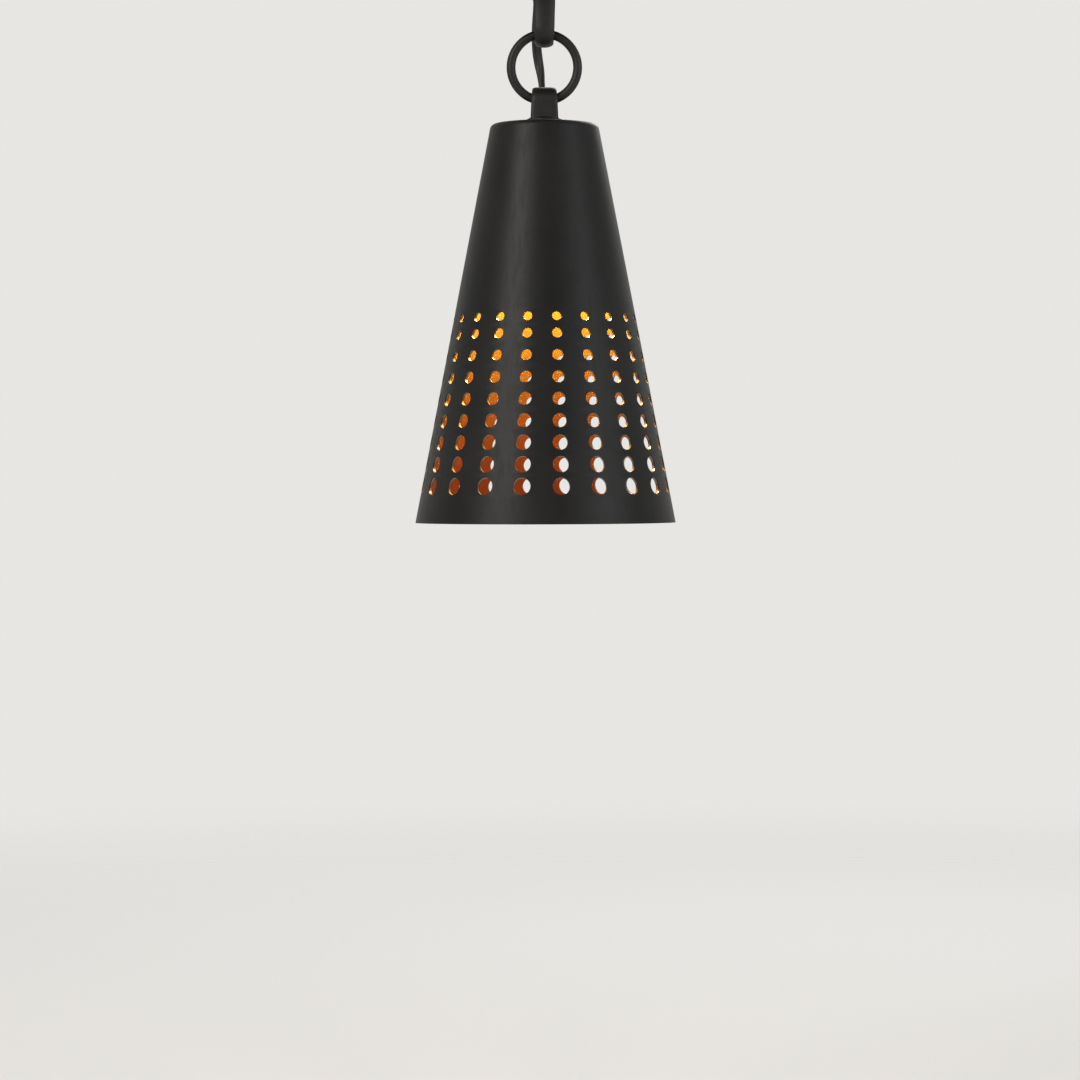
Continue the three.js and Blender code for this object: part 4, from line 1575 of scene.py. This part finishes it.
@dataclass
class Suspension(SubAssembly):
    """The ceiling loop, the ring and the shade's loop, which hang in one another."""

    stirrup: BentBar = BentBar(0.0043, 0.0114, 0.0094, 0.0074)
    boss_height: float = 0.004
    boss_chamfer: Pair = (0.0008, 0.0012)
    boss_passes: int = 6
    stud_radius: float = 0.005
    stud_pitch: float = 0.00125
    stud_depth: float = 0.0006
    stud_chamfer: Pair = (0.0007, 0.0006)
    weld_reach: float = 0.0011
    weld_rise: float = 0.00006
    eye: BentBar = BentBar(0.0042, 0.014, 0.0124, 0.0051, 0.45)
    shank_radius: float = 0.0061
    shank_height: float = 0.0013
    shank_chamfer: float = 0.0008
    flange_height: float = 0.0029
    flange_edge: float = 0.0013
    flange_passes: int = 4
    socket_depth: float = 0.0032
    socket_radius: float = 0.0053
    grain: float = 0.00032

    def build(self) -> None:
        """Cast the two loops and bend the ring."""
        self.ceiling_loop()
        self.ring()
        self.shade_loop()

    def ceiling_loop(self) -> None:
        """Cast the stirrup under its boss, and cut the stud's thread."""
        solid, face = Solid.of("ceiling_loop"), Solid.of("canopy").bottom
        low, rim, top = face - self.boss_height, solid.radius, solid.top
        bend = self.stirrup.bent("ceiling_stirrup", solid.bottom, face - self.boss_height / 2)
        draft, edge = self.boss_chamfer
        profile = [(0, low), (rim - draft, low), (rim, low + edge), (rim, face), (0, face)]
        boss = Bench.turned("boss", profile, 64, False)
        piece = Bench.cast(Bench.join(bend, boss), self.grain, self.boss_passes)
        self.place(piece, Body.CEILING, Slot.CAST, "ceiling_loop")
        draft, edge = self.stud_chamfer
        wall = wall_rows(self.stud_radius, face, top - edge, 60)
        profile = [(0.0, face), *wall, (self.stud_radius - draft, top), (0.0, top)]
        stud = Bench.turned("ceiling_stud", profile, 40, False)
        Bench.thread(stud, self.stud_pitch, self.stud_depth, face, top, self.stud_radius)
        Bench.smooth(stud, 40.0)
        self.place(stud, Body.CEILING, Slot.ZINC, "ceiling_loop")

    def ring(self) -> None:
        """Bend the ring and close it with a ground weld under the ceiling loop."""
        solid = Solid.of("ring")
        outer, wire = solid.reach
        centre = (solid.bottom + solid.top) / 2
        Bench.clear()
        bpy.ops.mesh.primitive_torus_add(
            major_radius=outer - wire,
            minor_radius=wire,
            major_segments=144,
            minor_segments=28,
            rotation=(math.pi / 2, 0, 0),
            location=(0, 0, centre),
        )
        piece = Bench.named("ring_wire")
        Bench.edit(piece)
        Bench.pick(piece, lambda vertex: abs(vertex.co.x) < self.weld_reach and vertex.co.z > centre)
        bpy.ops.transform.shrink_fatten(value=self.weld_rise)
        bpy.ops.mesh.vertices_smooth(factor=0.4, repeat=2)
        Bench.shut()
        Bench.hold(piece)
        bpy.ops.object.shade_smooth()
        self.place(piece, Body.RING, Slot.CAST, "ring")

    def shade_loop(self) -> None:
        """Cast the eye on its shank and flange, and bore the socket under it."""
        solid = Solid.of("shade_loop")
        base, rim, shank = solid.bottom, solid.radius, self.shank_radius
        flange = base + self.flange_height
        top = flange + self.shank_height
        bend = self.eye.bent("shade_eye", solid.top, base + self.flange_height / 2)
        profile = [(0, base), (rim, base), (rim, base + self.flange_edge), (shank, flange)]
        profile += [(shank, top - self.shank_chamfer), (shank - self.shank_chamfer, top), (0, top)]
        bend = Bench.join(bend, Bench.turned("shank", profile, 64, False))
        piece = Bench.cast(bend, self.grain, self.flange_passes)
        socket = Bench.peg("socket", self.socket_radius, base - Bench.PAST, base + self.socket_depth)
        Bench.cut(piece, socket)
        self.place(piece, Body.SHADE, Slot.CAST, "shade_loop")


@dataclass
class Gland:
    """A rubber gland: a fluted collar and a ribbed, tapered nose outside, a collar inside."""

    base_radius: float = 0.0056
    tip_radius: float = 0.003
    neck_radius: float = 0.0042
    collar: float = 0.0016
    chamfer: Pair = (0.0004, 0.0005)
    edge: float = 0.00012
    nose_step: float = 0.0006
    ribs: int = 3
    groove: float = 0.00045
    flutes: int = 16
    flute_start: float = 0.0002

    def make(self, name: str, outer_face: float, wall: float, nose: float) -> Piece:
        """Mould one gland on the Z axis.

        Args:
            name: its name.
            outer_face: the height of the face that it stands on.
            wall: the thickness that it grips.
            nose: how far its nose stands up from that face, or down where it is less than 0.

        Returns:
            The gland.
        """
        side = math.copysign(1.0, nose)
        inner, end = outer_face - side * wall, outer_face + nose
        rise, back = outer_face + side * self.collar, inner - side * self.collar
        draft, height = self.chamfer
        profile = [
            (0.0, back),
            (self.base_radius - draft, back),
            (self.base_radius, back + side * height),
            (self.base_radius, inner),
            (self.neck_radius, inner),
            (self.neck_radius, outer_face),
            (self.base_radius, outer_face),
            (self.base_radius, rise),
        ]
        root = self.base_radius - self.nose_step
        for k in range(self.ribs):
            for share, tuck in ((0.08, 0.0), (0.42, 0.0), (0.55, self.groove), (0.92, self.groove)):
                along = (k + share) / self.ribs
                radius = root + (self.tip_radius - root) * along
                profile.append((radius - tuck, rise + (end - rise) * along))
        piece = Bench.turned(name, [*profile, (self.tip_radius, end), (0.0, end)], 96, False)
        low, high = sorted((outer_face + side * self.flute_start, rise))
        Bench.fluted(piece, self.flutes, self.groove, self.base_radius * 0.95, low, high)
        Bench.rounded(piece, self.edge, 2, 35.0)
        return Bench.smooth(piece, 40.0)


@dataclass
class Glands(SubAssembly):
    """The two glands, at the ends of the cord's route, and the leads that they pass on."""

    gland: Gland = field(default_factory=Gland)
    flex: TwinFlex = field(default_factory=TwinFlex)
    wall: float = 0.0015
    canopy_nose: float = -0.0032
    shade_nose: float = 0.005
    steps: int = 28
    canopy_run: tuple[Point, ...] = (
        (-0.0035, 0.0189, -0.0226),
        (-0.0035, 0.0189, -0.0199),
        (-0.00175, 0.0189, -0.0098),
        (0.0, 0.0155, -0.0068),
        (0.0, 0.0121, -0.00675),
    )
    inner_run: tuple[Point, ...] = (
        (-0.0010, 0.01691, -0.0974),
        (-0.0010, 0.01681, -0.1001),
        (-0.0005, 0.0136, -0.1031),
        (0.0, 0.0105, -0.1066),
        (0.0, 0.0103, -0.1091),
        (0.0, 0.0103, -0.1136),
    )

    def build(self) -> None:
        """Mould the glands and draw the leads."""
        canopy, route = Solid.of("canopy").bottom, PendantCord.route
        for name, face, nose, end, body, node in (
            ("canopy_grommet", canopy, self.canopy_nose, route[0], Body.CEILING, "canopy_gland"),
            ("shade_grommet", Cone.top, self.shade_nose, route[-1], Body.SHADE, "shade_gland"),
        ):
            piece = self.gland.make(name, face, self.wall, nose)
            Bench.move(piece, (*end[:2], 0.0))
            self.place(piece, body, Slot.RUBBER, node)
        for name, run, body, node in (
            ("canopy_flex", self.canopy_run, Body.CEILING, "canopy_lead"),
            ("holder_flex", self.inner_run, Body.SHADE, "inner_lead"),
        ):
            piece = self.flex.tube(name, smooth_route(run, self.steps))
            self.place(piece, body, Slot.CORD, node)


@dataclass
class PerforatedShade(SubAssembly):
    """The conical shade: a flat top, a plain neck and rows of round holes that grow towards the rim."""

    cone: Cone = Cone()
    shoulder: float = 0.0028
    bends: int = 6
    top_rings: Pair = (0.75, 0.5)
    bore: float = 0.0053
    columns: int = 20
    phase: float = math.radians(7.2)
    rows: int = 9
    first_row: float = 0.0184
    row_pitch: float = 0.0107
    top_row_pitch: float = 0.0083
    largest_hole: float = 0.0085
    hole_step: float = 0.0005
    hole_sides: int = 32
    rim_rows: tuple[float, ...] = (0.008, 0.003, 0.0)
    neck_rows: int = 6
    lip: float = 0.0006
    gland_hole: float = 0.0045

    def row_height(self, row: int) -> float:
        """Return a row's height above the rim."""
        if row < self.rows - 1:
            return self.first_row + row * self.row_pitch
        return self.first_row + (row - 1) * self.row_pitch + self.top_row_pitch

    def cell(self, row: int, low: float, high: float) -> Piece:
        """Make the flat metal round one hole, its width a share of the turn.

        Args:
            row: the hole's row.
            low: the cell's lower edge above the rim.
            high: its upper edge.

        Returns:
            The cell, as wide as its column is at the rim.
        """
        middle = (0, self.row_height(row), 0)
        Bench.clear()
        bpy.ops.mesh.primitive_plane_add(size=1.0, location=(0, (low + high) / 2, 0))
        bpy.context.object.scale = (TURN * self.cone.rim_radius / self.columns, high - low, 1.0)
        piece = Bench.named(f"cell_{row}")
        Bench.edit(piece)
        bpy.ops.mesh.subdivide(number_cuts=self.hole_sides // 4 - 1)
        bpy.ops.mesh.region_to_loop()
        bpy.ops.mesh.select_all(action="INVERT")
        bpy.ops.mesh.delete(type="VERT")
        radius = (self.largest_hole - row * self.hole_step) / 2
        bpy.ops.mesh.primitive_circle_add(vertices=self.hole_sides, radius=radius, location=middle)
        widened = self.cone.rim_radius / self.cone.radius(middle[1])
        lean = math.cos(math.atan(self.cone.taper))
        bpy.ops.transform.resize(value=(widened, lean, 1.0), center_override=middle)
        bpy.ops.mesh.select_all(action="SELECT")
        bpy.ops.mesh.bridge_edge_loops()
        Bench.shut()
        return piece

    def strip(self) -> Piece:
        """Make one column of the shade, flat: the rim band, the holes and the plain neck.

        Returns:
            The column.
        """
        middles = [self.row_height(row) for row in range(self.rows)]
        edges = [middles[0] - self.row_pitch / 2]
        edges += [(a + b) / 2 for a, b in zip(middles, middles[1:])]
        edges.append(middles[-1] + self.top_row_pitch / 2)
        strip = Bench.join(*[self.cell(row, edges[row], edges[row + 1]) for row in range(self.rows)])
        strip.name = "shade_shell"
        Bench.edit(strip)
        bpy.ops.mesh.remove_doubles(threshold=Bench.TOUCH)
        rise = (self.cone.height - self.shoulder - edges[-1]) / self.neck_rows
        neck_rows = [edges[-1] + rise * k for k in range(1, self.neck_rows + 1)]
        for edge, goals in ((edges[0], self.rim_rows), (edges[-1], neck_rows)):
            Bench.pick(strip, lambda vertex: abs(vertex.co.y - edge) < Bench.TOUCH)
            for at, goal in zip((edge, *goals), goals):
                Bench.push((0, goal - at, 0))
        Bench.shut()
        return strip

    def build(self) -> None:
        """Roll the strip to a column of the cone, repeat it round the axis, close the top and drill it."""
        shell, rim_level = self.strip(), self.cone.rim_level
        for vertex in shell.data.vertices:
            angle = vertex.co.x / self.cone.rim_radius + self.phase
            radius = self.cone.radius(vertex.co.y)
            vertex.co = (radius * math.sin(angle), -radius * math.cos(angle), rim_level + vertex.co.y)
        Bench.edit(shell)
        others = self.columns - 1
        turn = TURN * others / self.columns
        bpy.ops.mesh.spin(steps=others, dupli=True, angle=turn, center=(0, 0, 0), axis=(0, 0, 1))
        bpy.ops.mesh.select_all(action="SELECT")
        bpy.ops.mesh.remove_doubles(threshold=Bench.DOUBLES)
        self.close_top(shell)
        Bench.seal()
        Bench.modify(shell, "SOLIDIFY", thickness=self.cone.wall, offset=-1.0, use_even_offset=True)
        for vertex in shell.data.vertices:
            vertex.co.z = max(vertex.co.z, rim_level)
        top = self.cone.top
        drill = Bench.peg("gland_drill", self.gland_hole, top - 4 * Bench.PAST, top + 2 * Bench.PAST)
        Bench.drill(shell, drill, (*PendantCord.route[-1][:2], 0.0))
        Bench.rounded(shell, self.lip, 3, 50.0)
        Bench.smooth(shell, 35.0)
        Bench.modify(shell, "WEIGHTED_NORMAL", mode="FACE_AREA", weight=50, keep_sharp=True)
        self.place(shell, Body.SHADE, Slot.COAT, "shade")

    def close_top(self, shell: Piece) -> None:
        """Extrude the upper edge over the shoulder and across the flat top.

        Args:
            shell: the open shade, in edit mode.
        """
        lean, height = math.atan(self.cone.taper), self.cone.height
        start = height - self.shoulder
        edge = self.cone.rim_level + start
        Bench.pick(shell, lambda vertex: abs(vertex.co.z - edge) < Bench.TOUCH)
        at_radius, at_height = self.cone.radius(start), start
        centre = at_radius - self.shoulder / math.cos(lean)
        goals = []
        for k in range(self.bends + 1):
            angle = lean + (math.pi / 2 - lean) * k / self.bends
            goals.append((centre + self.shoulder * math.cos(angle), start + self.shoulder * math.sin(angle)))
        goals += [(centre * share, height) for share in self.top_rings]
        goals.append((self.bore, height))
        for radius, level in goals:
            Bench.push((0, 0, level - at_height))
            share = radius / at_radius
            bpy.ops.transform.resize(value=(share, share, 1.0), center_override=(0, 0, 0))
            at_radius, at_height = radius, level


@dataclass
class Lampholder(SubAssembly):
    """The stack under the shade's top and the screw holder that it carries."""

    bore: float = 0.0053
    nipple_bore: float = 0.0036
    nipple_chamfer: Pair = (0.0005, 0.0004)
    nipple_pitch: float = 0.001
    nipple_depth: float = 0.0005
    wall: float = 0.0015
    play: float = 0.0003
    neck_radius: float = 0.0076
    neck_height: float = 0.007
    roof: float = 0.0025
    shoulder_bend: Pair = (0.0004, 0.0014)
    shoulder_in: float = 0.0017
    entry: Point = (0.0028, 0.0087, 0.0119)
    flutes: int = 30
    cap_flute: float = 0.0005
    cap_plain: Pair = (0.0015, 0.0005)
    skirt_in: float = 0.0002
    skirt_edge: Pair = (0.0012, 0.001)
    skirt_lip: float = 0.0005
    body_flute: float = 0.0006
    body_plain: float = 0.003
    edge: float = 0.0003
    core_edge: float = 0.0005
    shell_wall: float = 0.0008
    window_play: float = 0.0006
    button: Pair = (0.6, 0.65)

    def build(self) -> None:
        """Make every piece of the holder, from the top down."""
        self.washer("eye_gasket", "seat_gasket", self.bore, Body.SHADE, Slot.RUBBER)
        self.nipple()
        self.washer("under_washer", "inner_washer", self.bore, Body.SHADE, Slot.ZINC)
        self.nut("under_nut", "lock_nut", self.bore, Body.SHADE)
        self.cap()
        self.body()
        core = Solid.of("holder_core")
        profile = [(0, core.bottom), *wall_rows(core.radius, core.bottom, core.top, 1), (0, core.top)]
        self.turn("socket_core", profile, Body.SHADE, Slot.PORCELAIN, "holder_core", self.core_edge)
        self.contacts()

    def nipple(self) -> None:
        """Cut the hollow nipple's thread."""
        solid = Solid.of("nipple")
        low, high, outer = solid.bottom, solid.top, solid.radius
        draft, edge = self.nipple_chamfer
        wall = wall_rows(outer, low + edge, high - edge, 90)
        profile = [(self.nipple_bore, low), (outer - draft, low), *wall]
        profile += [(outer - draft, high), (self.nipple_bore, high)]
        piece = Bench.turned("hollow_nipple", profile, 40)
        Bench.thread(piece, self.nipple_pitch, self.nipple_depth, low, high, outer)
        Bench.smooth(piece, 40.0)
        self.place(piece, Body.SHADE, Slot.ZINC, "nipple")

    def cap(self) -> None:
        """Mould the cap with its neck and the lead's entry."""
        solid = Solid.of("holder_cap")
        edge, top, radius = solid.bottom, solid.top, solid.radius
        inner, shoulder = radius - self.wall, top - self.neck_height
        inside = shoulder - self.roof
        draft, rise = self.shoulder_bend
        profile = [
            (inner, edge),
            *wall_rows(radius, edge, inside, 8),
            (radius - draft, inside + rise),
            (radius - self.shoulder_in, shoulder),
            (self.neck_radius, shoulder),
            (self.neck_radius, top),
            (self.bore, top),
            (self.bore, inside),
            (inner, inside),
        ]
        cap = Bench.turned("socket_cap", profile, 120)
        half, near, far = self.entry
        entry = Bench.block("entry", (-half, near, inside - Bench.PAST), (half, far, shoulder + Bench.PAST))
        Bench.cut(cap, entry)
        low, high = edge + self.cap_plain[0], inside - self.cap_plain[1]
        Bench.fluted(cap, self.flutes, self.cap_flute, radius * 0.985, low, high)
        Bench.rounded(cap, self.edge, 2, 45.0)
        Bench.smooth(cap, 40.0)
        self.place(cap, Body.SHADE, Slot.PHENOLIC, "holder_cap")

    def body(self) -> None:
        """Mould the fluted body with the sleeve that the cap goes over."""
        solid, core, edge = Solid.of("holder_body"), Solid.of("holder_core"), Solid.of("holder_cap").bottom
        low, top, radius = solid.bottom, solid.top, solid.radius
        sleeve, seat = radius - self.wall - self.play, core.radius + self.play
        shell = Solid.of("screw_shell").radius + self.play
        draft, rise = self.skirt_edge
        profile = [
            (shell, low),
            (radius - draft, low),
            *wall_rows(radius - self.skirt_in, low + rise, edge - self.skirt_lip, 10),
            (radius, edge),
            (sleeve, edge),
            (sleeve, top),
            (seat, top),
            (seat, core.bottom),
            (shell, core.bottom),
        ]
        body = Bench.turned("socket_body", profile, 120)
        ends = (low + self.body_plain, edge - self.body_plain)
        Bench.fluted(body, self.flutes, self.body_flute, radius * 0.96, *ends)
        Bench.rounded(body, self.edge, 2, 45.0)
        Bench.smooth(body, 40.0)
        self.place(body, Body.SHADE, Slot.PHENOLIC, "holder_body")

    def contacts(self) -> None:
        """Press the screw shell and the centre contact."""
        solid, centre = Solid.of("screw_shell"), Solid.of("centre_contact")
        inner, face = solid.radius - self.shell_wall, solid.top
        window, under = centre.radius + self.window_play, face - self.shell_wall
        profile = [(inner, solid.bottom), *wall_rows(solid.radius, solid.bottom, face, 40)]
        profile += [(window, face), (window, under), (inner, under)]
        shell = Bench.turned("screw_sleeve", profile, 64)
        Bench.smooth(shell, 40.0)
        self.place(shell, Body.SHADE, Slot.BRASS, "screw_shell")
        low, high, radius = centre.bottom, centre.top, centre.radius
        flat, crown = radius * self.button[0], low + (high - low) * self.button[1]
        profile = [(0, low), (flat, low), (radius, crown), (radius, high), (0, high)]
        self.turn("centre_button", profile, Body.SHADE, Slot.BRASS, "centre_contact")


@dataclass
class Bulb(SubAssembly):
    """The lit bulb and the seal round its neck."""

    seal_bore: float = 0.007
    seal_edge: float = 0.0008
    cap_root: float = 0.0063
    cap_wall: float = 0.0005
    cap_edge: float = 0.0004
    cap_in: float = 0.0002
    tip_edge: float = 0.0006
    tip_flat: float = 0.6
    pitch: float = 0.00282
    neck_radius: float = 0.0055
    neck_out: float = 0.001
    glass_wall: float = 0.0008
    glass_steps: int = 14
    dome: float = 0.0165
    stem_radius: float = 0.0016
    stem_out: float = 0.002
    stem_edge: float = 0.0006
    flare_height: float = 0.001
    wire_radius: float = 0.00045
    light_power: float = 5.0
    light_colour: Colour = (1.0, 0.61, 0.19)
    light_size: float = 0.008
    filament_run: tuple[Point, ...] = (
        (-0.0060, 0.0, -0.1624),
        (-0.0048, 0.0, -0.1686),
        (-0.0024, 0.0, -0.1676),
        (0.0, 0.0, -0.1614),
        (0.0024, 0.0, -0.1676),
        (0.0048, 0.0, -0.1686),
        (0.0060, 0.0, -0.1624),
    )

    def build(self) -> None:
        """Make the seal, the screw cap, the glass and what glows in it."""
        self.washer("neck_seal", "bulb_seal", self.seal_bore, Body.SEAL, Slot.SILICONE, self.seal_edge)
        self.screw_cap()
        self.glass()
        self.filament()
        self.light()

    def screw_cap(self) -> None:
        """Roll the cap's thread and set its insulator and tip."""
        solid, tip = Solid.of("bulb_cap"), Solid.of("bulb_tip")
        base, top, crest, root = solid.bottom, solid.top, solid.radius, self.cap_root
        inner, under = root - self.cap_wall, top - self.cap_wall
        low, high = base + self.cap_edge, top - self.cap_edge
        profile = [(0, under), (inner, under), (inner, base), (root, base), *wall_rows(crest, low, high, 72)]
        cap = Bench.turned("bulb_thread", [*profile, (root - self.cap_in, top), (0, top)], 64, False)
        Bench.thread(cap, self.pitch, crest - root, low, high, crest)
        Bench.smooth(cap, 50.0)
        self.place(cap, Body.BULB, Slot.BRASS, "bulb_cap")
        seat, end, radius, edge = tip.bottom, tip.top, tip.radius, self.tip_edge
        profile = [(0, top), (Solid.of("bulb_insulator").radius, top), (radius + edge, seat), (0, seat)]
        self.turn("cap_insulator", profile, Body.BULB, Slot.PHENOLIC, "bulb_insulator")
        profile = [(0, seat), (radius, seat), (radius, end - edge), (radius * self.tip_flat, end), (0, end)]
        self.turn("cap_tip", profile, Body.BULB, Slot.ZINC, "bulb_tip")

    def envelope(self, inset: float) -> Profile:
        """Draw the profile of the glass.

        Args:
            inset: how far it is drawn in from the outer face.

        Returns:
            Its (radius, height) pairs, from the neck to the end.
        """
        solid, neck = Solid.of("bulb_glass"), self.neck_radius
        neck_end = Solid.of("bulb_cap").bottom - self.neck_out
        widest, steps = solid.bottom + self.dome, self.glass_steps
        points = [(neck - inset, solid.top), (neck - inset, neck_end)]
        for k in range(1, steps):
            radius = neck + (solid.radius - neck) * eased(k / steps)
            points.append((radius - inset, neck_end + (widest - neck_end) * k / steps))
        for k in range(steps):
            angle = math.pi / 2 * k / steps
            radius = (solid.radius - inset) * math.cos(angle)
            points.append((radius, widest - (self.dome - inset) * math.sin(angle)))
        return [*points, (0.0, solid.bottom + inset)]

    def glass(self) -> None:
        """Blow the envelope and draw the stem."""
        profile = [*reversed(self.envelope(0.0)), *self.envelope(self.glass_wall)]
        glass = Bench.turned("bulb_envelope", profile, 72, False)
        Bench.smooth(glass, 50.0)
        self.place(glass, Body.BULB, Slot.GLASS, "bulb_glass")
        solid, radius = Solid.of("bulb_stem"), self.stem_radius
        end, foot, flare = solid.bottom, solid.top, solid.radius
        waist, neck = Solid.of("bulb_cap").bottom - self.stem_out, foot - self.flare_height
        profile = [(0, end), (radius, end), (radius, waist), (flare, neck), (flare, foot), (0, foot)]
        self.turn("bulb_mount", profile, Body.BULB, Slot.GLASS, "bulb_stem", self.stem_edge, steps=40)

    def filament(self) -> None:
        """Wind the filament along its run."""
        wire = TwinFlex(self.wire_radius * 2, self.wire_radius * 2, 12, (0.0, 1.0, 0.0))
        piece = wire.tube("glow_wire", smooth_route(self.filament_run, 60))
        self.place(piece, Body.BULB, Slot.FILAMENT, "filament")

    def light(self) -> None:
        """Set the light that the filament gives."""
        data = bpy.data.lights.new("bulb_light", "POINT")
        data.energy = self.light_power
        data.color = self.light_colour
        data.shadow_soft_size = self.light_size
        light = bpy.data.objects.new("bulb_light", data)
        light.location = (0.0, 0.0, Solid.of("bulb_glass").bottom + self.dome)
        light.visible_camera = False
        light.visible_transmission = False
        bpy.context.scene.collection.objects.link(light)
        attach(light, Body.BULB.value)


def dress_solids(book: FinishBook) -> None:
    """Give the solids that still show their finishes, by the slots in the record.

    Args:
        book: the finishes of the light.
    """
    for part in frame["record"]["subparts"]:
        node = frame["nodes"][part["node"]]
        if not node.hide_render:
            book.dress(node, Slot(part["material_slot"]))
            LOG.info("%s keeps its solid", node.name)


def main() -> None:
    """Build the light in order: camera, cord, then each sub-assembly from the ceiling down."""
    logging.basicConfig(level=logging.INFO, format="%(name)s: %(message)s")
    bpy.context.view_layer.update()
    studio = Studio()
    studio.camera()
    book = FinishBook()
    for kind in (PendantCord, CeilingFitting, Suspension, Glands, PerforatedShade, Lampholder, Bulb):
        kind(book).build()
    dress_solids(book)
    studio.lights()
    studio.floor()


if __name__ == "__main__":
    main()
